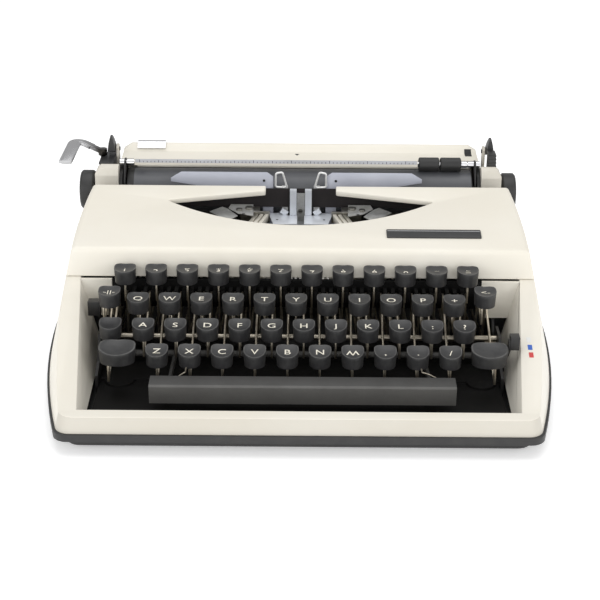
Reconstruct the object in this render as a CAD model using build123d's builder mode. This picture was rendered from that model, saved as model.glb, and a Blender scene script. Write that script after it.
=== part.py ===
# A portable typewriter. Millimetres; X runs to the typist's right, Y to the back, Z up.
# The origin is under the middle of the machine, on the surface it stands on.
from build123d import *
from math import atan2, cos, radians, sin, sqrt, tan
import os

os.makedirs("parts", exist_ok=True)

# Plan of the case: straight front and back, bowed sides
case_side = 157.0
case_corner_x = 135.6
case_depth_half = 157.0
case_corner_r = 9.0
case_draft = 0.23

# Heights of the case
foot_height = 2.5
rim_bottom = 9.0
rim_top = 13.5
deck_top = 57.0
tray_inset = 6.0
tray_wall = 1.8
housing_inset = 1.2
shell_wall = 2.2
seat_gap = 0.3

# Front of the housing: lip before the space bar, rails that climb to the seam
lip_top = 23.0
lip_inner_y = -145.0
seam_y = -36.0
well_bottom = 11.6
well_front_half = 121.4
well_rear_half = 123.9
well_wall = 2.0
well_draft = 0.25
deck_open_half = 128.0
deck_open_rear = 118.0

# Loose cover over the type basket
cover_crease_y = -32.0
cover_crease_z = 74.7
cover_rear_y = 43.0
cover_rear_z = 90.5
opening_half = 85.0
opening_side_y = 22.5
opening_front_y = -4.5
arm_tip_half = 23.0
arm_tip_y = 35.5
badge_size = (59.0, 9.0, 0.9)
badge_centre = (83.2, -14.5)

# Keyboard: four rows of caps, front row last
key_pitch = 19.0
row_counts = (12, 11, 11, 10)
row_first_x = (-106.8, -97.3, -92.6, -83.1)
row_y = (-45.0, -64.0, -83.0, -102.0)
row_z = (66.0, 55.0, 46.4, 38.4)
row_tilt = (2.0, 4.0, 7.0, 9.0)
cap_width = 13.3
cap_depth = 13.0
cap_height = 8.0
cap_dish_r = 26.0
cap_rim = 0.9
lever_thick = 1.2
lever_depth = 3.0
lever_drop = 18.8
lever_rise_front = -41.5
lever_rise_rear = -38.2
lever_rise_top = 49.0
lever_knee = (8.0, -34.0)
lever_knee_lift = 7.5
stem_half = 1.5

# Pivot rod that carries every lever
pivot_y = 108.0
pivot_z = 11.5
pivot_r = 1.5
pivot_eye_r = 3.2
running = 0.05

# Mechanism frame
frame_x = 120.5
frame_thick = 1.6
frame_top = 56.0
frame_rear = 116.0
floor_top = foot_height + tray_wall
comb_y = (-37.0, -34.0)
comb_z = (38.0, 56.0)
comb_tooth = (2.3, 7.4, 44.5, 51.8)

# Cream panels that close the two rear corners of the well, beside the comb
corner_inner = (-116.0, 112.0)
corner_y = (-37.6, -35.6)
corner_z = (32.0, 56.4)
corner_gap = 0.2
stop_rod = (-61.0, 29.0, 1.8)
bar_shaft = (-58.0, 16.0, 2.0)
apron_z = (9.8, 11.0)
apron_front = -143.5

# Selector levers outside the side frames
selector_x = 122.4
selector_z = 16.5
selector_pin_r = 1.5
colour_foot_y = -74.0
touch_foot_y = -46.0

# Space bar
bar_length = 175.5
bar_middle = 1.9
bar_front_y = -126.0
bar_depth = 11.5
bar_top = 28.4
bar_bottom = 16.9
bar_arm_x = 76.0

# Shift and side keys
shift_y = -102.0
shift_z = 39.4
shift_width = 21.6
shift_left_x = -106.2
shift_right_x = 110.6
shift_arms = (-111.5, 114.0)
shift_tube = (95.0, 19.0, 2.2)
lock_key = (-112.0, -83.0, 46.6, -114.7)
margin_key = (-114.3, -64.0, 59.0, -117.9)
back_key = (111.0, -64.0, 60.5, 109.25)

# Platen and carriage
platen_y = 71.0
platen_z = 76.0
platen_r = 15.0
platen_ends = (-116.5, 115.0)
knob_r = 13.2
knob_left = (-148.5, -139.0)
knob_right = (135.0, 144.5)
shaft_r = 3.0
end_plate_left = (-121.5, -119.5)
end_plate_right = (118.0, 120.0)
end_cap_left = (-137.2, -121.8)
end_cap_right = (120.3, 133.6)
end_cap_y = (57.0, 100.0)
end_cap_z = (60.0, 96.6)
cap_crest_y = 65.0
cap_rear_z = 79.0
stand_gap = 0.05
bed_y = (78.0, 100.0)
bed_z = (44.0, 58.0)
bed_half = 119.7
carriage_base = 58.3
feed_centre = (88.6, 66.0)
feed_r = 5.0
bail_pivot = (66.0, 62.0)
bail_rod = (69.6, 96.0)
bail_roller_r = 4.7
bail_roller_spans = ((79.0, 92.6), (93.4, 107.2))
table_ends = (-121.5, 120.0)
guide_span = (-112.0, -93.0)
flange_y = (104.0, 105.5)
flange_top = 66.0
stop_x = (-96.0, 94.0)

ear_pivot = (88.0, 99.6)
ear_pin_r = 1.4
lever_pin = (-134.7, 82.0)
lever_pin_r = 1.6
bail_arm_x = (-117.9, 116.6)
bail_pin_r = 1.5
bail_rod_r = 1.6
feed_shaft_r = 2.0
rear_pin_r = 1.4
wheel_z = 49.0
wheel_r = 8.0
wheel_teeth = 24
drum_x = -95.0
drum_z = 46.3
drum_r = 11.5
bell_x = 95.0
bell_z = 42.0
bell_r = 13.0

# Type basket: pivots and rest heads lie on circles about a tilted axis through the print point
print_point = (52.4, 75.6)
basket_tilt = 40.0
pivot_circle = 51.5
pivot_axial = -20.0
head_circle = 85.0
head_axial = 24.0
bar_count = 44
bar_step = 3.4
bar_thick = 1.0
bar_width = 3.0
type_head = (3.0, 3.2, 7.0)

segment_r = (44.0, 58.0)
segment_thick = 6.0
segment_pin_r = 0.9
slot_width = 1.5
slot_floor = 55.5
rest_r = (79.2, 82.4)
rest_axial = (8.5, 13.5)
guide_front = 45.2
guide_gap = 2.8
guide_base = (55.6, 57.8)
holder_y = 54.2
holder_top = 94.8
vibrator_y = 52.6

# Ribbon
spool_x = 108.0
spool_y = 5.0
spool_r = 18.5
spool_z = (59.3, 74.5)
ribbon_width = 13.0
ribbon_y = 51.6
ribbon_bottom = 71.5
ribbon_thick = 0.3
ribbon_half = 86.0


def save(label, *pieces):
    """One node: a single solid, or like pieces kept as separate solids."""
    shape = pieces[0] if len(pieces) == 1 else Compound(children=list(pieces))
    shape.label = label
    export_step(shape, f"parts/{label}.step")
    return shape


def plan(height, inset, corner):
    """Outline of the case at one height, drawn in by the inset."""
    x, side, y = case_corner_x - inset, case_side - inset, case_depth_half - inset
    with BuildSketch(Plane.XY.offset(height)) as outline:
        with BuildLine():
            Line((-x, -y), (x, -y))
            ThreePointArc((x, -y), (side, 0), (x, y))
            Line((x, y), (-x, y))
            ThreePointArc((-x, y), (-side, 0), (-x, -y))
        make_face()
        fillet(outline.vertices(), corner)
    return outline.sketch


def profile_prism(points, mode=Mode.ADD, half=200.0):
    """A Y-Z outline run across the whole machine."""
    with BuildSketch(Plane.YZ.offset(-half)) as side_view:
        with BuildLine():
            Polyline(*points, close=True)
        make_face()
    extrude(side_view.sketch, amount=2 * half, mode=mode)


def plate_x(x, thick, points, mode=Mode.ADD):
    """A flat plate standing in the Y-Z plane, centred on x."""
    with BuildSketch(Plane.YZ.offset(x - thick / 2)) as side_view:
        with BuildLine():
            Polyline(*points, close=True)
        make_face()
    extrude(side_view.sketch, amount=thick, mode=mode)


def rod_x(x0, x1, y, z, radius, mode=Mode.ADD):
    """A round bar along X."""
    with BuildSketch(Plane.YZ.offset(x0)) as section:
        with Locations((y, z)):
            Circle(radius)
    extrude(section.sketch, amount=x1 - x0, mode=mode)


def post_z(x, y, z0, z1, radius, mode=Mode.ADD):
    """A round upright."""
    with BuildSketch(Plane.XY.offset(z0)) as section:
        with Locations((x, y)):
            Circle(radius)
    extrude(section.sketch, amount=z1 - z0, mode=mode)


def block(x, y, z, mode=Mode.ADD):
    """A box given by its limits on each axis."""
    with Locations(((x[0] + x[1]) / 2, (y[0] + y[1]) / 2, (z[0] + z[1]) / 2)):
        Box(x[1] - x[0], y[1] - y[0], z[1] - z[0], mode=mode)


def inset_at(height):
    """How far the sloping case wall has drawn in at a height."""
    return housing_inset + (height - rim_top) * case_draft


# Base tray: a shallow pan with a proud rim
with BuildPart() as base_tray:
    add(plan(foot_height, tray_inset, case_corner_r))
    extrude(amount=rim_bottom - foot_height)
    fillet(base_tray.faces().sort_by(Axis.Z)[0].edges(), 3.0)
    add(plan(rim_bottom, 0, case_corner_r))
    extrude(amount=rim_top - rim_bottom)
    add(plan(floor_top, tray_inset + tray_wall, case_corner_r - tray_wall))
    extrude(amount=rim_top, mode=Mode.SUBTRACT)
    for x in (-95.0, 95.0):
        for y in (-138.0, 138.0):
            post_z(x, y, 0.0, rim_top, 1.5 + running, Mode.SUBTRACT)
save("base_tray", base_tray.part)

# Rubber feet under the tray
with BuildPart() as rubber_feet:
    for x in (-110.0, 110.0):
        for y in (-128.0, 128.0):
            post_z(x, y, 0.0, foot_height, 8.0)
save("rubber_feet", rubber_feet.part)

# Well: the sloping walls round the keyboard
with BuildPart() as well_outer:
    for height in (well_bottom, deck_top):
        grow = well_wall + well_draft * (height - well_bottom)
        with BuildSketch(Plane.XY.offset(height)):
            with BuildLine():
                Polyline(
                    (-well_front_half - grow, lip_inner_y - well_wall),
                    (well_front_half + grow, lip_inner_y - well_wall),
                    (well_rear_half + grow, seam_y),
                    (-well_rear_half - grow, seam_y),
                    close=True,
                )
            make_face()
    loft(ruled=True)
    profile_prism(
        [(-200, lip_top - 0.5), (lip_inner_y, lip_top - 0.5), (seam_y, deck_top - 0.5), (0, deck_top),
         (0, 99), (-200, 99)],
        Mode.SUBTRACT,
    )

with BuildPart() as well_inner:
    for height in (well_bottom - 1, deck_top + 6):
        grow = well_draft * (height - well_bottom)
        with BuildSketch(Plane.XY.offset(height)):
            with BuildLine():
                Polyline(
                    (-well_front_half - grow, lip_inner_y),
                    (well_front_half + grow, lip_inner_y),
                    (well_rear_half + grow + 0.5, seam_y + 16),
                    (-well_rear_half - grow - 0.5, seam_y + 16),
                    close=True,
                )
            make_face()
    loft(ruled=True)

# Lower housing: one moulded shell with the lip, the rails, the deck and the well walls
rail_profile = [(-200, lip_top), (lip_inner_y, lip_top), (seam_y, deck_top), (seam_y, 99), (-200, 99)]
inner_profile = [(-200, lip_top - shell_wall), (lip_inner_y, lip_top - shell_wall),
                 (seam_y, deck_top - shell_wall), (seam_y, 99), (-200, 99)]
with BuildPart() as housing_hollow:
    add(plan(rim_top, housing_inset + shell_wall, case_corner_r - shell_wall))
    add(plan(deck_top - shell_wall, inset_at(deck_top) + shell_wall, case_corner_r - shell_wall))
    loft(ruled=True)
    profile_prism(inner_profile, Mode.SUBTRACT)

with BuildPart() as lower_housing:
    add(plan(rim_top, housing_inset, case_corner_r))
    add(plan(deck_top, inset_at(deck_top), case_corner_r))
    loft(ruled=True)
    profile_prism(rail_profile, Mode.SUBTRACT)
    add(housing_hollow.part, mode=Mode.SUBTRACT)
    add(well_outer.part)
    add(well_inner.part, mode=Mode.SUBTRACT)
    block((-deck_open_half, deck_open_half), (seam_y - 1, deck_open_rear), (deck_top - 9, deck_top + 9),
          Mode.SUBTRACT)
    for side, inner in zip((-1, 1), corner_inner):
        with BuildSketch(Plane.XZ.offset(-corner_y[1])):
            with BuildLine():
                Polyline(
                    (inner, corner_z[0]),
                    (side * (well_rear_half + well_draft * (corner_z[0] - well_bottom) + 1), corner_z[0]),
                    (side * (well_rear_half + well_draft * (corner_z[1] - well_bottom) + 1), corner_z[1]),
                    (inner, corner_z[1]),
                    close=True,
                )
            make_face()
        extrude(amount=corner_y[1] - corner_y[0])
save("lower_housing", lower_housing.part)


# Top cover: a wedge shell with an arc opening over the type basket
def cover_outline(drop, back):
    """Side view of the cover, lowered by the drop."""
    return [(seam_y + drop, deck_top - 1), (cover_crease_y + drop, cover_crease_z - drop),
            (cover_rear_y + back, cover_rear_z - drop), (cover_rear_y + back, deck_top - 1)]


def cover_wedge(inset, drop, back):
    with BuildPart() as wedge:
        add(plan(deck_top + seat_gap, inset_at(deck_top) + inset, case_corner_r))
        add(plan(cover_rear_z, inset_at(cover_rear_z) + inset, case_corner_r))
        loft(ruled=True)
        profile_prism(cover_outline(drop, back), Mode.INTERSECT)
    return wedge.part


with BuildPart() as top_cover:
    add(cover_wedge(0, 0, 0))
    add(cover_wedge(shell_wall, shell_wall, 9), mode=Mode.SUBTRACT)
    with BuildSketch(Plane.XY.offset(deck_top + 8)):
        with BuildLine():
            ThreePointArc(
                (-opening_half, opening_side_y), (0, opening_front_y), (opening_half, opening_side_y)
            )
            Polyline(
                (opening_half, opening_side_y),
                (opening_half - 0.5, opening_side_y + 1.5),
                (arm_tip_half, arm_tip_y),
                (arm_tip_half, cover_rear_y + 1),
                (-arm_tip_half, cover_rear_y + 1),
                (-arm_tip_half, arm_tip_y),
                (-opening_half + 0.5, opening_side_y + 1.5),
                (-opening_half, opening_side_y),
            )
        make_face()
    extrude(amount=40, mode=Mode.SUBTRACT)
save("top_cover", top_cover.part)

# Badge plate: a bare plate lying on the slope of the cover
cover_slope = atan2(cover_rear_z - cover_crease_z, cover_rear_y - cover_crease_y)


def cover_top_at(y):
    return cover_crease_z + (y - cover_crease_y) * tan(cover_slope)


badge_plane = Plane(
    origin=(badge_centre[0], badge_centre[1], cover_top_at(badge_centre[1])),
    x_dir=(1, 0, 0),
    z_dir=(0, -sin(cover_slope), cos(cover_slope)),
)
with BuildPart() as badge_plate:
    with BuildSketch(badge_plane):
        RectangleRounded(badge_size[0], badge_size[1], 0.8)
    extrude(amount=badge_size[2])
save("badge_plate", badge_plate.part)

# Floor apron: the black sheet in front of the levers, with a raised lobed step behind it
with BuildPart() as floor_apron:
    apron_half = frame_x - frame_thick / 2 - 0.3
    block((-apron_half, apron_half), (apron_front, comb_y[0] - 0.5), apron_z)
    block((-apron_half, apron_half), (-86.0, -62.0), (apron_z[1], apron_z[1] + 1.4))
    for x in (shift_left_x - 1, shift_right_x - 2):
        post_z(x, -86.0, apron_z[1], apron_z[1] + 1.4, 9.0)
    for x in (-apron_half + 6, apron_half - 6):
        block((x - 3, x + 3), (-60.0, -50.0), (floor_top, apron_z[0]))
save("floor_apron", floor_apron.part)

# Side frames: pressed steel plates that stand on the tray and carry the shafts
frame_outline = [
    (-92, floor_top), (-92, 17), (-80, 21), (-70, 34), (-54, 34), (-48, 24), (-40, 24), (-34, 34),
    (-34, frame_top), (frame_rear, frame_top), (frame_rear, floor_top),
]
frames = []
for side in (-1, 1):
    with BuildPart() as side_frame:
        plate_x(side * frame_x, frame_thick, frame_outline)
        x0 = side * frame_x - 5
        rod_x(x0, x0 + 10, pivot_y, pivot_z, pivot_r, Mode.SUBTRACT)
        rod_x(x0, x0 + 10, stop_rod[0], stop_rod[1], stop_rod[2], Mode.SUBTRACT)
        rod_x(x0, x0 + 10, bar_shaft[0], bar_shaft[1], bar_shaft[2] + running, Mode.SUBTRACT)
        foot_y = colour_foot_y if side > 0 else touch_foot_y
        rod_x(x0, x0 + 10, foot_y, selector_z, selector_pin_r + running, Mode.SUBTRACT)
        rod_x(x0, x0 + 10, 30.0, 34.0, 9.0, Mode.SUBTRACT)
        rod_x(x0, x0 + 10, 62.0, 34.0, 9.0, Mode.SUBTRACT)
    frames.append(side_frame.part)
save("side_frames", *frames)

# Rods through the side frames: the pivot of all the levers, and the stop they rest above
frame_out = frame_x + frame_thick / 2
with BuildPart() as pivot_rod:
    rod_x(-frame_out - 1, frame_out + 1, pivot_y, pivot_z, pivot_r)
with BuildPart() as stop_rod_part:
    rod_x(-frame_out, frame_out, stop_rod[0], stop_rod[1], stop_rod[2])
save("lever_rods", pivot_rod.part, stop_rod_part.part)

# Keyboard levers and caps
lever_slots = sorted(
    row_first_x[row] + key_pitch * i for row in range(4) for i in range(row_counts[row])
)


def lever(x, y, z):
    """A flat lever: eye at the back, low arm, upright through the comb, then a slope to its cap."""
    low = pivot_z - lever_depth / 2
    high = pivot_z + lever_depth / 2
    arm_z = z - lever_drop
    with BuildPart() as arm:
        plate_x(
            x,
            lever_thick,
            [
                (pivot_y, low), (pivot_y, high), (lever_knee[0], high),
                (lever_knee[1], high + lever_knee_lift), (lever_rise_rear, high + lever_knee_lift),
                (lever_rise_rear, lever_rise_top), (lever_rise_front, lever_rise_top),
                (y + stem_half, arm_z + lever_depth / 2),
                (y + stem_half, z - cap_height), (y - stem_half, z - cap_height),
                (y - stem_half, arm_z - lever_depth / 2),
                (lever_rise_front, lever_rise_top - lever_depth - 1.0),
                (lever_rise_front, low + lever_knee_lift), (lever_knee[1], low + lever_knee_lift),
                (lever_knee[0], low),
            ],
        )
        rod_x(x - lever_thick / 2, x + lever_thick / 2, pivot_y, pivot_z, pivot_eye_r)
        rod_x(x - lever_thick / 2, x + lever_thick / 2, pivot_y, pivot_z, pivot_r + running, Mode.SUBTRACT)
    return arm.part


def cap(x, y, z, tilt, width=cap_width, depth=cap_depth):
    """A moulded cap: flat back, round front, dished top that leans to the typist."""
    lean = radians(tilt)
    normal = (0, -sin(lean), cos(lean))
    with BuildPart() as top:
        with BuildSketch(Plane.XY.offset(z - cap_height)) as outline:
            with BuildLine():
                shoulder = y + 1.0
                rear = y + depth / 2 - 0.8
                half = width / 2
                ThreePointArc((-half + x, shoulder), (x, y - depth / 2), (half + x, shoulder))
                Polyline(
                    (half + x, shoulder), (half + x - 0.8, rear), (x - half + 0.8, rear), (x - half, shoulder)
                )
            make_face()
            fillet(outline.vertices().sort_by(Axis.Y)[-2:], 2.2)
        extrude(amount=cap_height + 3)
        split(
            bisect_by=Plane(origin=(x, y, z + cap_rim), x_dir=(1, 0, 0), z_dir=normal),
            keep=Keep.BOTTOM,
        )
        dish = cap_dish_r * width / cap_width
        with Locations((x, y + dish * normal[1], z + dish * normal[2])):
            Sphere(dish, mode=Mode.SUBTRACT)
    return top.part


row_names = ("number_row_keys", "top_row_keys", "home_key", "bottom_row_keys")
for row in range(4):
    made = []
    for index in range(row_counts[row]):
        x = row_first_x[row] + key_pitch * index
        pair = [
            lever(x, row_y[row], row_z[row]),
            cap(x, row_y[row], row_z[row], row_tilt[row]),
        ]
        if row == 2:
            save(f"home_key_{index + 1:02d}", *pair)
        else:
            made += pair
    if row != 2:
        save(row_names[row], *made)

# Comb: the black beam whose teeth keep the levers apart
with BuildPart() as key_comb:
    block((corner_inner[0] + corner_gap, corner_inner[1] - corner_gap), comb_y, comb_z)
    tooth_w, tooth_l, tooth_low, tooth_high = comb_tooth
    for left, right in zip(lever_slots, lever_slots[1:]):
        x = (left + right) / 2
        block((x - tooth_w / 2, x + tooth_w / 2), (comb_y[0] - tooth_l, comb_y[0]), (tooth_low, tooth_high))
save("key_comb", key_comb.part)

# Space bar: a hollow bar on two arms that turn with their shaft
with BuildPart() as space_bar:
    x0, x1 = bar_middle - bar_length / 2, bar_middle + bar_length / 2
    rear = bar_front_y + bar_depth
    with BuildSketch(Plane.YZ.offset(x0)):
        with BuildLine():
            Polyline(
                (bar_front_y + 0.6, bar_bottom), (bar_front_y, bar_top - 0.8),
                (bar_front_y + 1.2, bar_top + 0.2), (rear, bar_top + 0.8),
                (rear, bar_bottom + 3), (rear - 2, bar_bottom + 3), (rear - 2, bar_top - 1.6),
                (bar_front_y + 2.6, bar_top - 2.2), (bar_front_y + 2.6, bar_bottom), close=True,
            )
        make_face()
    extrude(amount=bar_length)
    for x in (x0, x1 - 2):
        plate_x(x + 1, 2.0, [(bar_front_y + 2, bar_bottom), (bar_front_y + 2, bar_top - 1),
                             (rear - 1, bar_top - 0.6), (rear - 1, bar_bottom + 3)])
with BuildPart() as bar_frame:
    rod_x(-frame_out, frame_out, *bar_shaft)
    for x in (-bar_arm_x, bar_arm_x):
        plate_x(x, 1.6, [
            (bar_shaft[0] + 3, bar_shaft[1] - 2), (bar_shaft[0] + 3, bar_shaft[1] + 2),
            (bar_shaft[0] - 4, bar_shaft[1] + 3), (rear + 8, bar_bottom + 6), (rear, bar_bottom + 6.5),
            (rear, bar_bottom + 3.4), (rear + 8, bar_bottom + 2.8), (bar_shaft[0] - 4, bar_shaft[1] - 2.5),
        ])
save("space_bar", space_bar.part, bar_frame.part)

# Shift keys: two wide caps on levers joined by a tube, so that both move together
with BuildPart() as shift_frame:
    for x in shift_arms:
        add(lever(x, shift_y, shift_z))
        block((x - 0.6, x + 0.6), (shift_tube[0] - 2, shift_tube[0] + 2), (pivot_z, shift_tube[1]))
    rod_x(shift_arms[0] - 0.6, shift_arms[1] + 0.6, *shift_tube)
save(
    "shift_keys",
    shift_frame.part,
    cap(shift_left_x, shift_y, shift_z, row_tilt[3], shift_width, 15.0),
    cap(shift_right_x, shift_y, shift_z, row_tilt[3], shift_width, 15.0),
)

# Shift lock, margin release and backspace: one cap and one lever each
for name, (x, y, z, lever_x), tilt in (
    ("shift_lock_key", lock_key, row_tilt[2]),
    ("margin_release_key", margin_key, row_tilt[1]),
    ("backspace_key", back_key, row_tilt[1]),
):
    save(name, lever(lever_x, y, z), cap(x, y, z, tilt))

# Selector levers by the side walls: ribbon colour on the right, key touch on the left
def selector(side, head_x, head_y, head_z, head, foot_y):
    x = side * selector_x
    with BuildPart() as arm:
        plate_x(x, 1.4, [(foot_y - 3, selector_z), (foot_y + 3, selector_z), (head_y + 2.5, head_z - 3),
                         (head_y + 2.5, head_z + 1), (head_y - 2.5, head_z + 1), (head_y - 2.5, head_z - 4)])
        rod_x(x - 0.7, x + 0.7, foot_y, selector_z, 3.4)
        pin_end = x - side * 4.0
        rod_x(min(x, pin_end), max(x, pin_end), foot_y, selector_z, selector_pin_r)
        block((head_x - head[0] / 2, head_x + head[0] / 2), (head_y - head[1] / 2, head_y + head[1] / 2),
              (head_z - head[2] / 2, head_z + head[2] / 2))
    return arm.part


save("color_selector", selector(1, 125.2, -96.0, 43.6, (5.4, 6.5, 8.0), colour_foot_y))
save("touch_lever", selector(-1, -125.0, -54.5, 45.0, (7.4, 6.0, 9.0), touch_foot_y))

# Directions of the tilted type basket, and how far back the ends of its segment reach
tilt_r = radians(basket_tilt)
down_y, down_z = -cos(tilt_r), -sin(tilt_r)
axial_y, axial_z = -sin(tilt_r), cos(tilt_r)
bar_angles = [(i - (bar_count - 1) / 2) * bar_step for i in range(bar_count)]
sector_half = bar_angles[-1] + 4.5
segment_rear = (
    print_point[0]
    + segment_r[0] * cos(radians(sector_half)) * down_y
    + (pivot_axial - segment_thick / 2) * axial_y
)

# Carriage bed: the folded beam that the carriage runs on, with two upright rails for the basket
bed_web = 1.6
with BuildPart() as carriage_bed:
    block((-bed_half, bed_half), bed_y, (bed_z[1] - 2.5, bed_z[1]))
    block((-bed_half, bed_half), (bed_y[0], bed_y[0] + bed_web), bed_z)
    block((-bed_half, bed_half), (bed_y[1] - bed_web, bed_y[1]), bed_z)
    for x, z in ((0.0, wheel_z), (drum_x, drum_z)):
        with BuildSketch(Plane.XZ.offset(-bed_y[1] - 1)):
            with Locations((x, z)):
                Circle(rear_pin_r + running)
        extrude(amount=bed_web + 2, mode=Mode.SUBTRACT)
    for x in (-100.0, -50.0, 50.0, 100.0):
        block((x - 8, x + 8), (bed_y[0] + 6, bed_y[1] - 6), (bed_z[1] - 4, bed_z[1] + 1), Mode.SUBTRACT)
    for side in (-1, 1):
        rail_x = sorted((side * segment_r[0] - side * 2.0, side * (segment_r[0] + 6.0)))
        block(rail_x, (segment_rear + seat_gap, bed_y[0]), bed_z)
save("carriage_bed", carriage_bed.part)


def round_y(x, z, y0, y1, radius, mode=Mode.ADD):
    """A round bar along Y."""
    with BuildSketch(Plane.XZ.offset(-y0)) as section:
        with Locations((x, z)):
            Circle(radius)
    extrude(section.sketch, amount=-(y1 - y0), mode=mode)


# Escapement wheel and mainspring drum, each on a pin through the back of the bed
with BuildPart() as escapement_wheel:
    round_y(0, wheel_z, bed_y[1] + 0.4, bed_y[1] + 2.0, wheel_r - 1.5)
    tooth_angle = 360.0 / wheel_teeth
    for tooth in range(wheel_teeth):
        turn = radians(tooth * tooth_angle)
        with BuildSketch(Plane.XZ.offset(-bed_y[1] - 0.4)):
            with BuildLine():
                Polyline(
                    ((wheel_r - 2) * cos(turn), wheel_z + (wheel_r - 2) * sin(turn)),
                    (wheel_r * cos(turn), wheel_z + wheel_r * sin(turn)),
                    ((wheel_r - 2) * cos(turn + 0.2), wheel_z + (wheel_r - 2) * sin(turn + 0.2)),
                    close=True,
                )
            make_face()
        extrude(amount=-1.6)
    round_y(0, wheel_z, bed_y[1] - 4, bed_y[1] + 0.5, rear_pin_r)
save("escapement_wheel", escapement_wheel.part)

with BuildPart() as spring_drum:
    round_y(drum_x, drum_z, bed_y[1] + 0.4, bed_y[1] + 11, drum_r)
    round_y(drum_x, drum_z, bed_y[1] + 2.4, bed_y[1] + 8.8, drum_r + 1, Mode.SUBTRACT)
    round_y(drum_x, drum_z, bed_y[1] + 2.4, bed_y[1] + 8.8, drum_r - 1.5)
    round_y(drum_x, drum_z, bed_y[1] - 4, bed_y[1] + 0.5, rear_pin_r)
save("spring_drum", spring_drum.part)

# Bell: a thin dome on a stem from the back of the bed
with BuildPart() as bell:
    round_y(bell_x, bell_z, bed_y[1] + 1.2, bed_y[1] + 9.2, bell_r)
    fillet(bell.faces().sort_by(Axis.Y)[-1].edges(), 5.0)
    round_y(bell_x, bell_z, bed_y[1] + 1.2, bed_y[1] + 4.0, bell_r - 1.2, Mode.SUBTRACT)
    round_y(bell_x, bell_z, bed_y[1], bed_y[1] + 4.2, 2.5)
save("bell", bell.part)

# Carriage frame: two end plates joined by the channel that runs over the bed
end_plate_outline = [
    (58.2, 60), (58.2, 84), (63, 90), (75, 94.4), (95.3, 94.4), (99.6, 60.2), (66, carriage_base),
]
channel_top = carriage_base + 2.0
with BuildPart() as carriage_frame:
    block((end_plate_left[0], end_plate_right[1]), (76.0, flange_y[1]), (carriage_base, channel_top))
    block((end_plate_left[0], end_plate_right[1]), flange_y, (carriage_base, flange_top))
    for x0, x1 in (end_plate_left, end_plate_right):
        plate_x((x0 + x1) / 2, x1 - x0, end_plate_outline)
        rod_x(x0 - 1, x1 + 1, platen_y, platen_z, shaft_r + running, Mode.SUBTRACT)
        rod_x(x0 - 1, x1 + 1, feed_centre[0], feed_centre[1], feed_shaft_r + running, Mode.SUBTRACT)
        rod_x(x0 - 1, x1 + 1, bail_pivot[0], bail_pivot[1], bail_pin_r + running, Mode.SUBTRACT)
save("carriage_frame", carriage_frame.part)

# Platen: rubber sleeve on a steel shaft, with a knob at each end
with BuildPart() as platen_sleeve:
    rod_x(platen_ends[0], platen_ends[1], platen_y, platen_z, platen_r)
    chamfer(platen_sleeve.edges().filter_by(GeomType.CIRCLE), 0.6)
    rod_x(platen_ends[0] - 1, platen_ends[1] + 1, platen_y, platen_z, shaft_r + running, Mode.SUBTRACT)
with BuildPart() as platen_shaft:
    rod_x(knob_left[0] + 4, knob_right[1] - 4, platen_y, platen_z, shaft_r)
save("platen", platen_sleeve.part, platen_shaft.part)

with BuildPart() as knobs:
    for x0, x1 in (knob_left, knob_right):
        rod_x(x0, x1, platen_y, platen_z, knob_r)
    chamfer(knobs.edges().filter_by(GeomType.CIRCLE), 1.2)
    rod_x(knob_left[0] + 4, knob_right[1] - 4, platen_y, platen_z, shaft_r + running, Mode.SUBTRACT)
save("platen_knobs", knobs.part)

# Feed rollers: four rubber rollers on one shaft behind the platen
with BuildPart() as feed_rollers:
    rod_x(end_plate_left[0], end_plate_right[1], feed_centre[0], feed_centre[1], feed_shaft_r)
    for x in (-84.0, -30.0, 28.0, 82.0):
        rod_x(x - 12, x + 12, feed_centre[0], feed_centre[1], feed_r)
save("feed_rollers", feed_rollers.part)

# End caps: moulded covers over the ends of the carriage, each with a lug for its release lever

def cap_top_at(y):
    """Height of the sloping top of an end cap, behind its crest."""
    share = (y - cap_crest_y) / (end_cap_y[1] - cap_crest_y)
    return end_cap_z[1] - 0.4 + share * (cap_rear_z - end_cap_z[1] + 0.4)


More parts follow.
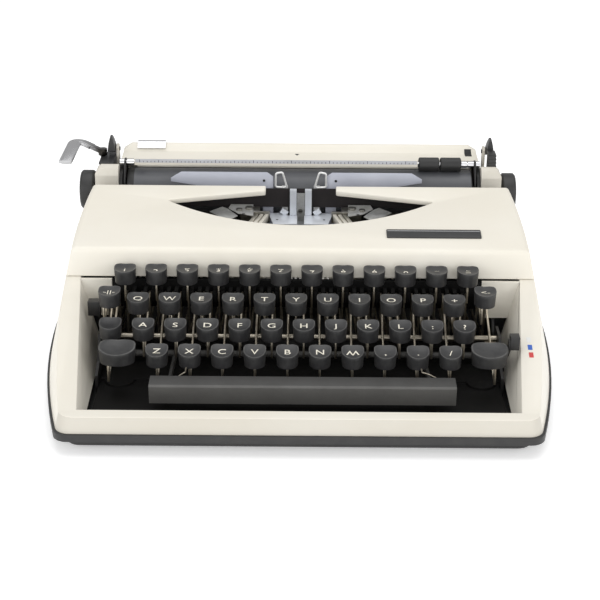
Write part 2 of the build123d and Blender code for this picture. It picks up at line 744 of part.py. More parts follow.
caps = []
for (x0, x1), lug in ((end_cap_left, (-125.6, -124.0)), (end_cap_right, (123.4, 125.0))):
    with BuildPart() as end_cap:
        with BuildSketch(Plane.YZ.offset(x0)):
            with BuildLine():
                Polyline(
                    (end_cap_y[0], end_cap_z[0]), (end_cap_y[0], end_cap_z[1] - 6),
                    (end_cap_y[0] + 2.5, end_cap_z[1] - 1.6), (end_cap_y[0] + 6, end_cap_z[1]),
                    (cap_crest_y, end_cap_z[1] - 0.4), (end_cap_y[1], cap_rear_z),
                    (end_cap_y[1], end_cap_z[0]), close=True,
                )
            make_face()
        extrude(amount=x1 - x0)
        hollow = (x0 + 2, x1 + 1) if x0 < 0 else (x0 - 1, x1 - 2)
        plate_x(
            (hollow[0] + hollow[1]) / 2, hollow[1] - hollow[0],
            [(end_cap_y[0] + 2, end_cap_z[0] - 1), (end_cap_y[0] + 2, end_cap_z[1] - 14),
             (84, end_cap_z[1] - 14), (end_cap_y[1] - 2, cap_rear_z - 3),
             (end_cap_y[1] - 2, end_cap_z[0] - 1)],
            Mode.SUBTRACT,
        )
        outer, inward = (x0, 1) if x0 < 0 else (x1, -1)
        with BuildSketch(Plane.XZ.offset(-end_cap_y[0] + 1)):
            with BuildLine():
                Polyline(
                    (outer, end_cap_z[1] - 5), (outer + 3.7 * inward, end_cap_z[1] + 0.1),
                    (outer + 3.7 * inward, end_cap_z[1] + 2), (outer - inward, end_cap_z[1] + 2),
                    (outer - inward, end_cap_z[1] - 5), close=True,
                )
            make_face()
        extrude(amount=-20, mode=Mode.SUBTRACT)
        rod_x(x0 - 1, x1 + 1, platen_y, platen_z, shaft_r + 0.4, Mode.SUBTRACT)
        plate_x((lug[0] + lug[1]) / 2, lug[1] - lug[0], [(83, 84), (83, ear_pivot[1] + 2),
                (85, ear_pivot[1] + 3.4), (89, ear_pivot[1] + 3.4), (91, ear_pivot[1] + 1), (91, 81)])
        rod_x(lug[0] - 1, lug[1] + 1, ear_pivot[0], ear_pivot[1], ear_pin_r + running, Mode.SUBTRACT)
        if x0 < 0:
            post_z(lever_pin[0], lever_pin[1], cap_rear_z - 4, end_cap_z[1] + 1, lever_pin_r + running,
                   Mode.SUBTRACT)
    caps.append(end_cap.part)
for x0, x1, rear, top in ((-135.6, -125.9, 90.0, end_cap_z[1]), (125.6, 130.6, 77.6, 103.6)):
    with BuildPart() as stand:
        plate_x((x0 + x1) / 2, x1 - x0, [
            (cap_crest_y + 1, cap_top_at(cap_crest_y + 1) + stand_gap), (cap_crest_y + 1, end_cap_z[1] - 0.2),
            (cap_crest_y + 4, top), (rear, top), (rear, cap_top_at(rear) + stand_gap),
        ])
        if x0 < 0:
            post_z(lever_pin[0], lever_pin[1], cap_rear_z - 4, top + 1, lever_pin_r + running, Mode.SUBTRACT)
    caps.append(stand.part)
save("carriage_end_caps", *caps)

# Carriage release: an upright ear at each end, tipped forward by the fingers
ears = []
for side, x0, x1 in ((-1, -131.0, -126.0), (1, 125.4, 130.4)):
    with BuildPart() as ear:
        plate_x((x0 + x1) / 2, x1 - x0, [
            (79.0, 100.4), (79.6, 109), (81, 110.2), (85, 110.2), (87, 108), (90.5, 101),
            (90.5, end_cap_z[1] + 1.2), (85.5, end_cap_z[1] + 1.2),
        ])
        with BuildSketch(Plane.XZ.offset(-70)):
            with BuildLine():
                Polyline((x0, 90), (x0, 101), (x0 + 0.8, 106), (x0 + 1.9, 110.3), (x1 - 1.9, 110.3),
                         (x1 - 0.8, 106), (x1, 101), (x1, 90), close=True)
            make_face()
        extrude(amount=-30, mode=Mode.INTERSECT)
        pin = (x0 + 1, -123.4) if side < 0 else (122.8, x1 - 1)
        rod_x(pin[0], pin[1], ear_pivot[0], ear_pivot[1], ear_pin_r)
    ears.append(ear.part)
save("carriage_release", *ears)

# Paper table: a shelf behind the platen, turned up at the back and carried down to the channel
with BuildPart() as paper_table:
    with BuildSketch(Plane.YZ.offset(table_ends[0])):
        with BuildLine():
            Polyline((77, 92.6), (77, 96.4), (90.8, 96.9), (95.2, 101.3), (96.8, 101.3),
                     (101.9, channel_top + 0.1), (100.5, channel_top + 0.1), (96.4, 95.4), (78.6, 94.9),
                     (78.2, 92.6), close=True)
        make_face()
    extrude(amount=table_ends[1] - table_ends[0])
    block((111.8, 116.4), (86.0, 90.0), (94.0, 98.0), Mode.SUBTRACT)
    block((table_ends[0] - 1, end_plate_left[1] + 0.3), (76.0, 79.0), (92.0, 94.7), Mode.SUBTRACT)
    block((end_plate_right[0] - 0.3, table_ends[1] + 1), (76.0, 79.0), (92.0, 94.7), Mode.SUBTRACT)
    for end, inward in zip(table_ends, (1, -1)):
        with BuildSketch(Plane.XZ.offset(-89)):
            with BuildLine():
                Polyline((end, 97.8), (end + 5.5 * inward, 101.4), (end + 5.5 * inward, 103),
                         (end - inward, 103), (end - inward, 97.8), close=True)
            make_face()
        extrude(amount=-9, mode=Mode.SUBTRACT)
save("paper_table", paper_table.part)

# Paper side guide: a bright clip that slides along the turned-up edge
with BuildPart() as paper_guide:
    with BuildSketch(Plane.YZ.offset(guide_span[0])):
        with BuildLine():
            Polyline((91.7, 98.4), (95.05, 101.75), (97.2, 101.75), (98.0, 95), (99.0, 95), (98.2, 102.6),
                     (94.3, 102.6), (90.9, 99.2), close=True)
        make_face()
    extrude(amount=guide_span[1] - guide_span[0])
save("paper_guide", paper_guide.part)

# Margin stops: two clips that ride on the upturned flange at the back of the carriage
for name, x in (("margin_stop_left", stop_x[0]), ("margin_stop_right", stop_x[1])):
    with BuildPart() as stop:
        block((x - 4, x + 4), (flange_y[0] - 1.3, flange_y[1] + 3.5), (channel_top + 1.5, flange_top + 4))
        block((x - 5, x + 5), (flange_y[0] - 0.4, flange_y[1] + 0.4), (channel_top, flange_top + 0.4),
              Mode.SUBTRACT)
    save(name, stop.part)

# Paper bail: rod, two arms and the ruled strip, with two rollers turning on the rod
arm_outline = [(63.5, 59.8), (59.0, 71), (59.0, 86), (66.4, 98.4), (71.4, 98.6), (72.8, 95.6), (64.8, 84.6),
               (64.6, 73), (69.0, 63.4), (67.6, 59.6)]
with BuildPart() as paper_bail:
    rod_x(bail_arm_x[0] - 0.6, bail_arm_x[1] + 0.6, bail_rod[0], bail_rod[1], bail_rod_r)
    for x in bail_arm_x:
        plate_x(x, 1.2, arm_outline)
        outward = 1 if x > 0 else -1
        ends = sorted((x, x + outward * 3.6))
        rod_x(ends[0], ends[1], bail_pivot[0], bail_pivot[1], bail_pin_r)
    block((-111.5, 78.0), (65.2, 66.4), (95.4, 100.0))
    for x in (-108.0, -20.0, 70.0):
        block((x - 3, x + 3), (65.8, bail_rod[0]), (bail_rod[1] - 0.8, bail_rod[1] + 0.8))
save("paper_bail", paper_bail.part)

with BuildPart() as bail_rollers:
    for x0, x1 in bail_roller_spans:
        rod_x(x0, x1, bail_rod[0], bail_rod[1], bail_roller_r)
    chamfer(bail_rollers.edges().filter_by(GeomType.CIRCLE), 0.6)
    rod_x(bail_roller_spans[0][0] - 1, bail_roller_spans[1][1] + 1, *bail_rod, bail_rod_r + running,
          Mode.SUBTRACT)
save("bail_rollers", bail_rollers.part)

# Return lever: a bent flat bar on a vertical pin at the left end of the carriage
lever_route = ((lever_pin[0], lever_pin[1], 99.2), (-153.5, 90.0, 105.0), (-156.6, 58.0, 99.4))
lever_neck = tuple(a + 0.4 * (b - a) for a, b in zip(lever_route[0], lever_route[1]))
with BuildPart() as return_lever:
    for start, wide, thick in ((lever_route[0], 6.0, 2.8), (lever_neck, 9.0, 2.2)):
        with BuildLine() as lever_path:
            FilletPolyline(start, lever_route[1], lever_route[2], radius=5)
        start_plane = Plane(origin=lever_path.line @ 0, x_dir=(0, 1, 0), z_dir=lever_path.line % 0)
        with BuildSketch(start_plane) as section:
            RectangleRounded(wide, thick, thick / 2 - 0.1)
        sweep(section.sketch, path=lever_path.line, transition=Transition.RIGHT)
    post_z(lever_pin[0], lever_pin[1], 97.1, 101.4, 3.0)
    post_z(lever_pin[0], lever_pin[1], cap_rear_z - 3, 98, lever_pin_r)
save("return_lever", return_lever.part)


# Plane of the segment, square to the basket axis
basket_plane = Plane(
    origin=(0, print_point[0] + pivot_axial * axial_y, print_point[1] + pivot_axial * axial_z),
    x_dir=(1, 0, 0),
    z_dir=(0, axial_y, axial_z),
)


def spoke_plane(angle):
    """Plane of one type bar: across is the radius, up is the basket axis."""
    turn = radians(angle)
    spoke = (sin(turn), cos(turn) * down_y, cos(turn) * down_z)
    side = (-cos(turn), sin(turn) * down_y, sin(turn) * down_z)
    return Plane(origin=(0, print_point[0], print_point[1]), x_dir=spoke, z_dir=side)


def type_bar(angle):
    """A thin bar from its pivot in the segment to the type block at its end."""
    run, rise = head_circle - pivot_circle, head_axial - pivot_axial
    length = sqrt(run**2 + rise**2)
    ux, uy = run / length, rise / length
    px, py = pivot_circle, pivot_axial
    wide, narrow = bar_width / 2 + 0.6, bar_width / 2 - 0.5
    plane = spoke_plane(angle)
    with BuildPart() as bar:
        with BuildSketch(plane.offset(-bar_thick / 2)) as blade:
            with BuildLine():
                Polyline(
                    (px + wide * uy - 2.2 * ux, py - wide * ux - 2.2 * uy),
                    (px + ux * length - narrow * -uy, py + uy * length - narrow * ux),
                    (px + ux * length - narrow * uy, py + uy * length + narrow * ux),
                    (px - wide * uy - 2.2 * ux, py + wide * ux - 2.2 * uy),
                    close=True,
                )
            make_face()
            with Locations((px, py)):
                Circle(segment_pin_r + running, mode=Mode.SUBTRACT)
        extrude(blade.sketch, amount=bar_thick)
        head_plane = plane.offset(-type_head[0] / 2)
        with BuildSketch(head_plane) as block_outline:
            with BuildLine():
                hx, hy = px + ux * length, py + uy * length
                back, tall = type_head[1] - 0.8, type_head[2]
                Polyline(
                    (hx - back * uy, hy + back * ux), (hx + 0.8 * uy, hy - 0.8 * ux),
                    (hx + 0.8 * uy - tall * ux, hy - 0.8 * ux - tall * uy),
                    (hx - back * uy - tall * ux, hy + back * ux - tall * uy), close=True,
                )
            make_face()
        extrude(block_outline.sketch, amount=type_head[0])
    return bar.part


moving_bar = bar_count // 2
save("type_bars", *[type_bar(a) for i, a in enumerate(bar_angles) if i != moving_bar])
save("center_type_bar", type_bar(bar_angles[moving_bar]))

# Slots of the segment, one for each type bar
segment_slots = []
for angle in bar_angles:
    with BuildPart() as slot:
        with BuildSketch(spoke_plane(angle).offset(-slot_width / 2)) as slot_outline:
            with Locations(((segment_r[0] + slot_floor) / 2, pivot_axial)):
                Rectangle(slot_floor - segment_r[0] + 4, segment_thick + 4)
        extrude(slot_outline.sketch, amount=slot_width)
    segment_slots.append(slot.part)

# Segment: a slotted sector that holds the bar pivots, with an arm up to each end of the rest
with BuildPart() as type_segment:
    with BuildSketch(basket_plane.offset(-segment_thick / 2)) as sector:
        with BuildLine():
            a0, a1 = radians(-90 - sector_half), radians(-90 + sector_half)
            CenterArc((0, 0), segment_r[1], -90 - sector_half, 2 * sector_half)
            Line((segment_r[1] * cos(a1), segment_r[1] * sin(a1)),
                 (segment_r[0] * cos(a1), segment_r[0] * sin(a1)))
            CenterArc((0, 0), segment_r[0], -90 - sector_half, 2 * sector_half)
            Line((segment_r[0] * cos(a0), segment_r[0] * sin(a0)),
                 (segment_r[1] * cos(a0), segment_r[1] * sin(a0)))
        make_face()
    extrude(sector.sketch, amount=segment_thick)
    add(segment_slots, mode=Mode.SUBTRACT)
    for side in (-1, 1):
        with BuildSketch(spoke_plane(side * (sector_half - 1.5)).offset(-1.0)) as arm_outline:
            with BuildLine():
                Polyline((segment_r[1] - 4, pivot_axial - 2), (segment_r[1] + 1, pivot_axial - 2),
                         (rest_r[1], rest_axial[0]), (rest_r[1], rest_axial[1]), (rest_r[0], rest_axial[1]),
                         (segment_r[1] - 4, pivot_axial + 2), close=True)
            make_face()
        extrude(arm_outline.sketch, amount=2.0)
save("type_segment", type_segment.part)

# Rest: the felt-faced arc that the bars lie against
rest_half = sector_half - 3.4
rest_plane = Plane(
    origin=(0, print_point[0] + rest_axial[0] * axial_y, print_point[1] + rest_axial[0] * axial_z),
    x_dir=(1, 0, 0),
    z_dir=(0, axial_y, axial_z),
)
with BuildPart() as type_rest:
    with BuildSketch(rest_plane) as rest_outline:
        with BuildLine():
            a0, a1 = radians(-90 - rest_half), radians(-90 + rest_half)
            CenterArc((0, 0), rest_r[1], -90 - rest_half, 2 * rest_half)
            Line((rest_r[1] * cos(a1), rest_r[1] * sin(a1)), (rest_r[0] * cos(a1), rest_r[0] * sin(a1)))
            CenterArc((0, 0), rest_r[0], -90 - rest_half, 2 * rest_half)
            Line((rest_r[0] * cos(a0), rest_r[0] * sin(a0)), (rest_r[1] * cos(a0), rest_r[1] * sin(a0)))
        make_face()
    extrude(rest_outline.sketch, amount=rest_axial[1] - rest_axial[0])
save("type_rest", type_rest.part)

# Type guide: base plate fixed to the bed, the two guide posts and the wings beside them
with BuildPart() as type_guide:
    block((-40, 40), (guide_front, bed_y[0]), (guide_base[0], guide_base[1]))
    for side in (-1, 1):
        x = sorted((side * guide_gap, side * 7.2))
        block(x, (46.4, 50.0), (guide_base[1], 85.0))
        x = sorted((side * (guide_gap + 0.3), side * 9.0))
        block(x, (39.0, 49.0), (64.4, 65.8))
        with BuildSketch(Plane.XY.offset(65.8)) as wing:
            with BuildLine():
                Polyline((side * 7.0, 38.0), (side * 12.0, 38.0), (side * 20.0, 49.0), (side * 10.0, 49.0),
                         close=True)
            make_face()
        extrude(wing.sketch, amount=1.2)
save("type_guide", type_guide.part)

# Segment brackets: angle plates on the guide base, each with its screw
brackets = []
for side in (-1, 1):
    with BuildPart() as bracket:
        x = sorted((side * 27.0, side * 40.0))
        block(x, (guide_front + 1, guide_front + 2.6), (guide_base[1], 73.0))
        block(x, (38.0, guide_front + 2.6), (71.6, 73.0))
        x = sorted((side * 20.5, side * 27.0))
        block(x, (guide_front + 1, guide_front + 2.6), (62.0, 70.0))
        post_z(side * 34.0, 42.0, 73.0, 74.6, 2.4)
    brackets.append(bracket.part)
save("segment_brackets", *brackets)

# Card holders: thin clear plates that keep the paper to the platen, each on a small upright
holders = []
for side, inner, outer in ((-1, 18.4, 86.4), (1, 16.6, 80.4)):
    with BuildPart() as holder:
        with BuildSketch(Plane.XZ.offset(-holder_y)) as holder_outline:
            with BuildLine():
                Polyline((side * inner, guide_base[1]), (side * inner, holder_top - 3),
                         (side * (inner + 4), holder_top),
                         (side * (outer - 7), holder_top), (side * outer, 90.5), (side * outer, 88.0),
                         (side * (inner + 7), 78.0), (side * (inner + 7), guide_base[1]), close=True)
            make_face()
        extrude(holder_outline.sketch, amount=-0.6)
    holders.append(holder.part)
save("card_holders", *holders)

# Ribbon vibrator: a fork that lifts the ribbon, with a wire loop at each tip
with BuildPart() as ribbon_vibrator:
    block((-12.5, 12.5), (vibrator_y, vibrator_y + 0.8), (guide_base[1] + 0.3, 63.0))
    for side in (-1, 1):
        x = sorted((side * 8.6, side * 12.5))
        block(x, (vibrator_y, vibrator_y + 0.8), (63.0, 86.0))
        tip = 12.2
        with BuildLine() as loop:
            FilletPolyline(
                (side * 9.2, vibrator_y + 0.4, 84.8), (side * tip, vibrator_y + 0.4, 95.4),
                (side * 16.6, vibrator_y + 0.4, 94.6), (side * 16.8, vibrator_y + 0.4, 85.0),
                (side * 9.2, vibrator_y + 0.4, 84.8), radius=1.4, close=False,
            )
        with BuildSketch(Plane(origin=loop.line @ 0, z_dir=loop.line % 0)):
            Circle(0.7)
        sweep()
save("ribbon_vibrator", ribbon_vibrator.part)

# Ribbon: the band in front of the platen and its two runs down to the spools
with BuildPart() as ribbon:
    block((-ribbon_half, ribbon_half), (ribbon_y, ribbon_y + ribbon_thick),
          (ribbon_bottom, ribbon_bottom + ribbon_width))
    for side in (-1, 1):
        start = (side * ribbon_half, ribbon_y + ribbon_thick / 2, ribbon_bottom + ribbon_width / 2)
        spool_mid = (spool_z[0] + spool_z[1]) / 2
        finish = (side * (spool_x - 12.0), spool_y + 15.2, spool_mid)
        heading = Vector(finish[0] - start[0], finish[1] - start[1], 0).normalized()
        for spot in (start, finish):
            with BuildSketch(Plane(origin=spot, x_dir=(0, 0, 1), z_dir=heading)):
                Rectangle(ribbon_width, ribbon_thick)
        loft(ruled=True)
save("ribbon", ribbon.part)

# Spool cups: plates on the side frames with the spindles
cups = []
for side in (-1, 1):
    with BuildPart() as cup:
        x = sorted((side * (spool_x - 19), side * (frame_x + 0.8)))
        block(x, (spool_y - 20, spool_y + 20), (frame_top, frame_top + 1.2))
        post_z(side * spool_x, spool_y, frame_top + 1.2, spool_z[0] - 0.3, 5.0)
        post_z(side * spool_x, spool_y, frame_top + 1.2, spool_z[1] - 1.5, 2.0)
    cups.append(cup.part)
save("spool_cups", *cups)

# Spools: two flanges on a core, with the wound ribbon between them
for name, side in (("spool_left", -1), ("spool_right", 1)):
    x = side * spool_x
    with BuildPart() as spool:
        post_z(x, spool_y, spool_z[0], spool_z[1], 6.0)
        post_z(x, spool_y, spool_z[0], spool_z[0] + 0.7, spool_r)
        post_z(x, spool_y, spool_z[1] - 0.7, spool_z[1], spool_r)
        post_z(x, spool_y, spool_z[0] - 1, spool_z[1] - 1.0, 2.0 + running, Mode.SUBTRACT)
        for i in range(6):
            turn = radians(60 * i)
            post_z(x + 12 * cos(turn), spool_y + 12 * sin(turn), spool_z[0] - 1, spool_z[1] + 1, 2.2,
                   Mode.SUBTRACT)
    wound = 15.0 if side < 0 else 11.5
    with BuildPart() as pack:
        post_z(x, spool_y, spool_z[0] + 1.0, spool_z[1] - 1.0, wound)
        post_z(x, spool_y, spool_z[0], spool_z[1], 6.05, Mode.SUBTRACT)
    save(name, spool.part, pack.part)

# Case screws: they come up through the tray from below
with BuildPart() as case_screws:
    for x in (-95.0, 95.0):
        for y in (-138.0, 138.0):
            post_z(x, y, foot_height - 1.3, foot_height, 3.4)
            post_z(x, y, foot_height, floor_top + 4, 1.5)
save("case_screws", case_screws.part)
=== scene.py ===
# The looks of a portable typewriter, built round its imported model. Metres; X right, Y back, Z up.
import math

import bmesh
import bpy
from mathutils import Matrix, Vector


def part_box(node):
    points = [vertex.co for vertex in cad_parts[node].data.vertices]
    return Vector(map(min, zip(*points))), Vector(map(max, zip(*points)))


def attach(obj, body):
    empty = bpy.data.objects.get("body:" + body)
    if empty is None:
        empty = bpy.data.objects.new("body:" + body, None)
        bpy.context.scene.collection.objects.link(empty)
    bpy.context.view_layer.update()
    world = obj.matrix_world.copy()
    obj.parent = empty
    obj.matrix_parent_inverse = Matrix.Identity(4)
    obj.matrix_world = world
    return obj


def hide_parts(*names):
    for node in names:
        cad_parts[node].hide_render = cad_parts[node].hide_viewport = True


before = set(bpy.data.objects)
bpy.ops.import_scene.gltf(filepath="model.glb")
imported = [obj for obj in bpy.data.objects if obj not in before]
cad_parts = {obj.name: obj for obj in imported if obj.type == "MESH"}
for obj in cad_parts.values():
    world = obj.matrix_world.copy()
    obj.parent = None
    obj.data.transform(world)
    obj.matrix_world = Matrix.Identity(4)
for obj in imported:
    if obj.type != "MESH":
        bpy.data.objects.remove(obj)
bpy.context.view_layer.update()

# Camera
# It stands in front of the machine and looks down on the keyboard, a little turned, as the photograph does.
camera_place = Vector((0.0, -0.8608, 0.4098))
camera_aim = Vector((0.0, -0.064, 0.055))
camera_roll = math.radians(0.45)
camera_lens = 87.26

camera_data = bpy.data.cameras.new("camera")
camera_data.lens = camera_lens
camera_data.sensor_width = 36.0
camera_data.clip_start = 0.05
camera = bpy.data.objects.new("camera", camera_data)
bpy.context.scene.collection.objects.link(camera)
camera_turn = (camera_aim - camera_place).to_track_quat("-Z", "Y").to_matrix().to_4x4()
camera.matrix_world = Matrix.Translation(camera_place) @ camera_turn @ Matrix.Rotation(camera_roll, 4, "Z")
bpy.context.scene.camera = camera

# Studio
# A wide soft lamp above, a weaker one to each side, and an even pale world that shows white behind.
world = bpy.data.worlds.new("studio")
world.use_nodes = True
world_nodes = world.node_tree.nodes
world_links = world.node_tree.links
surround = world_nodes["Background"]
surround.inputs["Color"].default_value = (1.0, 1.0, 1.0, 1.0)
surround.inputs["Strength"].default_value = 0.60
white_back = world_nodes.new("ShaderNodeBackground")
white_back.inputs["Color"].default_value = (1.0, 1.0, 1.0, 1.0)
white_back.inputs["Strength"].default_value = 1.0
light_path = world_nodes.new("ShaderNodeLightPath")
seen_direct = world_nodes.new("ShaderNodeMath")
seen_direct.operation = "MAXIMUM"
world_links.new(light_path.outputs["Is Camera Ray"], seen_direct.inputs[0])
world_links.new(light_path.outputs["Is Transmission Ray"], seen_direct.inputs[1])
world_mix = world_nodes.new("ShaderNodeMixShader")
world_links.new(seen_direct.outputs["Value"], world_mix.inputs["Fac"])
world_links.new(surround.outputs["Background"], world_mix.inputs[1])
world_links.new(white_back.outputs["Background"], world_mix.inputs[2])
world_links.new(world_mix.outputs["Shader"], world_nodes["World Output"].inputs["Surface"])
bpy.context.scene.world = world

for lamp_name, lamp_place, lamp_size, lamp_power in (
    ("lamp_above", (0.0, 0.10, 1.5), 1.3, 8.0),
    ("lamp_left", (-1.2, -1.2, 0.8), 0.9, 6.5),
    ("lamp_right", (1.2, -1.2, 0.8), 0.9, 6.5),
    ("lamp_front", (0.0, -1.7, 0.55), 1.1, 4.0),
):
    lamp_data = bpy.data.lights.new(lamp_name, "AREA")
    lamp_data.size = lamp_size
    lamp_data.energy = lamp_power
    lamp = bpy.data.objects.new(lamp_name, lamp_data)
    bpy.context.scene.collection.objects.link(lamp)
    lamp.location = lamp_place
    lamp.rotation_euler = (Vector((0, 0, 0.05)) - Vector(lamp_place)).to_track_quat("-Z", "Y").to_euler()

# Table
# A plain white sheet under the machine, large enough to fill the view.
table_half = 6.0
table_mesh = bmesh.new()
bmesh.ops.create_grid(table_mesh, x_segments=1, y_segments=1, size=table_half)
table_data = bpy.data.meshes.new("table")
table_mesh.to_mesh(table_data)
table_mesh.free()
table = bpy.data.objects.new("table", table_data)
bpy.context.scene.collection.objects.link(table)
table_paper = bpy.data.materials.new("table_paper")
table_paper.use_nodes = True
table_shader = table_paper.node_tree.nodes["Principled BSDF"]
table_shader.inputs["Base Color"].default_value = (0.93, 0.93, 0.93, 1.0)
table_shader.inputs["Roughness"].default_value = 0.9
table_shader.inputs["Specular IOR Level"].default_value = 0.1
table_shader.inputs["Emission Color"].default_value = (1.0, 1.0, 1.0, 1.0)
table_shader.inputs["Emission Strength"].default_value = 0.35
table_data.materials.append(table_paper)

# Base tray
# A shallow pressed pan under the whole machine, with a proud rim, painted dark grey.
tray_edge = 0.0012
tray_grey = (0.020, 0.020, 0.0205)
tray_scuff = (0.030, 0.0295, 0.029)


def node_at(material, kind):
    return material.node_tree.nodes.new(kind)


def painted_surface(
    name, colour, second, roughness, spread=0.02, grain=0.0004, grain_height=0.00002, metallic=0.0, shine=0.5
):
    """A finish in two close tones over a broad pattern, with a fine grain and uneven gloss."""
    material = bpy.data.materials.new(name)
    material.use_nodes = True
    links = material.node_tree.links
    shader = material.node_tree.nodes["Principled BSDF"]
    shader.inputs["Metallic"].default_value = metallic
    shader.inputs["Specular IOR Level"].default_value = shine
    place = node_at(material, "ShaderNodeTexCoord")
    broad = node_at(material, "ShaderNodeTexNoise")
    broad.inputs["Scale"].default_value = 1.0 / spread
    broad.inputs["Detail"].default_value = 5.0
    broad.inputs["Roughness"].default_value = 0.6
    links.new(place.outputs["Object"], broad.inputs["Vector"])
    tones = node_at(material, "ShaderNodeValToRGB")
    tones.color_ramp.elements[0].position = 0.36
    tones.color_ramp.elements[0].color = (*second, 1.0)
    tones.color_ramp.elements[1].position = 0.60
    tones.color_ramp.elements[1].color = (*colour, 1.0)
    links.new(broad.outputs["Fac"], tones.inputs["Fac"])
    links.new(tones.outputs["Color"], shader.inputs["Base Color"])
    gloss = node_at(material, "ShaderNodeMapRange")
    gloss.inputs["From Min"].default_value = 0.3
    gloss.inputs["From Max"].default_value = 0.7
    gloss.inputs["To Min"].default_value = roughness + 0.07
    gloss.inputs["To Max"].default_value = roughness - 0.04
    links.new(broad.outputs["Fac"], gloss.inputs["Value"])
    links.new(gloss.outputs["Result"], shader.inputs["Roughness"])
    fine = node_at(material, "ShaderNodeTexNoise")
    fine.inputs["Scale"].default_value = 1.0 / grain
    fine.inputs["Detail"].default_value = 2.0
    links.new(place.outputs["Object"], fine.inputs["Vector"])
    bump = node_at(material, "ShaderNodeBump")
    bump.inputs["Strength"].default_value = 0.6
    bump.inputs["Distance"].default_value = grain_height
    links.new(fine.outputs["Fac"], bump.inputs["Height"])
    links.new(bump.outputs["Normal"], shader.inputs["Normal"])
    return material


def solid_of(node):
    """A CAD node's mesh, merged, with its flat faces joined up again."""
    solid = bmesh.new()
    solid.from_mesh(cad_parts[node].data)
    bmesh.ops.remove_doubles(solid, verts=solid.verts, dist=0.000002)
    bmesh.ops.dissolve_limit(solid, angle_limit=math.radians(0.8), verts=solid.verts, edges=solid.edges)
    return solid


def sharp_edges(solid, angle=28.0, where=None):
    limit = math.radians(angle)
    return [
        edge
        for edge in solid.edges
        if len(edge.link_faces) == 2
        and edge.calc_face_angle(0.0) > limit
        and (where is None or where(edge))
    ]


def soften(solid, width, steps=3, angle=28.0, where=None):
    """Rounds the sharp edges of a solid by a width."""
    bmesh.ops.bevel(
        solid,
        geom=sharp_edges(solid, angle, where),
        offset=width,
        offset_type="OFFSET",
        segments=steps,
        profile=0.5,
        affect="EDGES",
        clamp_overlap=True,
        material=-1,
    )


def place_piece(solid, name, body, materials, stands_for=(), smooth=38.0):
    """Makes a piece of a finished mesh, with its materials and body, and hides the nodes that it stands for.
    """
    mesh = bpy.data.meshes.new(name)
    solid.to_mesh(mesh)
    solid.free()
    for material in materials:
        mesh.materials.append(material)
    mesh.shade_smooth()
    mesh.set_sharp_from_angle(angle=math.radians(smooth))
    piece = bpy.data.objects.new(name, mesh)
    bpy.context.scene.collection.objects.link(piece)
    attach(piece, body)
    if stands_for:
        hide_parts(*stands_for)
    return piece


tray_paint = painted_surface("tray_paint", tray_grey, tray_scuff, 0.48, spread=0.012, grain=0.0006)
tray = solid_of("base_tray")
soften(tray, tray_edge)
place_piece(tray, "tray_pan", "machine", [tray_paint], ["base_tray"])

# Feet and case screws
# Four soft rubber feet, and four slotted screws that hold the housing down from below.
foot_edge = 0.0006


def finish_node(material, *nodes):
    """Gives CAD nodes that stay as they are their material."""
    for node in nodes:
        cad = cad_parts[node]
        cad.data.materials.clear()
        cad.data.materials.append(material)


foot_rubber = painted_surface("foot_rubber", (0.020, 0.020, 0.020), (0.030, 0.029, 0.028), 0.75)
screw_steel = painted_surface("screw_steel", (0.42, 0.40, 0.37), (0.34, 0.32, 0.29), 0.34, metallic=1.0)
feet = solid_of("rubber_feet")
soften(feet, foot_edge)
place_piece(feet, "soft_feet", "machine", [foot_rubber], ["rubber_feet"])
finish_node(screw_steel, "case_screws")

# Lower housing
# One moulded shell in warm white: the lip, the rails beside the keys, the deck and the well walls.
# The front slope of the lip is painted a little greyer, as painted shade.
shell_white = (0.800, 0.765, 0.680)
shell_aged = (0.775, 0.735, 0.640)
lip_shade_grey = (0.610, 0.580, 0.512)
lip_shade_greyer = (0.590, 0.556, 0.482)
housing_edge = 0.0011
hollow_top = 0.012
lip_back, lip_crest, lip_slope = -0.1435, 0.0222, -0.25


def in_view_corner(edge):
    """True for the outer edges of the shell, not for those of its hollow."""
    return all(vert.co.z > hollow_top for vert in edge.verts)


shell_plastic = painted_surface(
    "shell_plastic", shell_white, shell_aged, 0.40, spread=0.09, grain=0.0009, grain_height=0.000012
)
# The greyer finish of the lip's front slope is painted shade
lip_painted_shade = painted_surface(
    "lip_painted_shade", lip_shade_grey, lip_shade_greyer, 0.44, spread=0.09, grain=0.0009, grain_height=0.000012
)
housing = solid_of("lower_housing")
soften(housing, housing_edge, 3, 30.0, in_view_corner)
# Front-facing faces low on the lip take the painted shade
for face in housing.faces:
    middle = face.calc_center_median()
    on_shaded_lip = middle.y < lip_back and middle.z < lip_crest and face.normal.y < lip_slope
    face.material_index = 1 if on_shaded_lip else 0
place_piece(housing, "housing_shell", "machine", [shell_plastic, lip_painted_shade], ["lower_housing"])

# Loose cover
# The wedge over the type basket, of the same plastic; its crease and its rear edges are well rounded.
cover_edge = 0.0012
cover_round = 0.0030
foot_y, foot_z = -0.036, 0.057
crease_y, crease_z = -0.032, 0.0747
rear_y, rear_z = 0.043, 0.0905
opening_half = 0.1
skin_depth = 0.0007
crease_gap, skirt_gap = 0.001, 0.003


def on_cover_skin(edge):
    """True for the long outer edges of the cover, away from the opening."""
    for vert in edge.verts:
        x, y, z = vert.co
        top = crease_z + (y - crease_y) * (rear_z - crease_z) / (rear_y - crease_y)
        if y < crease_y - 0.0001:
            top = foot_z + (y - foot_y) * (crease_z - foot_z) / (crease_y - foot_y)
        by_opening = abs(x) < opening_half and crease_y + crease_gap < y < rear_y - crease_gap
        if abs(z - top) > skin_depth or by_opening or z < foot_z + skirt_gap:
            return False
    return True


cover = solid_of("top_cover")
soften(cover, cover_round, 5, 12.0, on_cover_skin)
soften(cover, cover_edge, 3, 40.0)
place_piece(cover, "cover_shell", "cover", [shell_plastic], ["top_cover"])

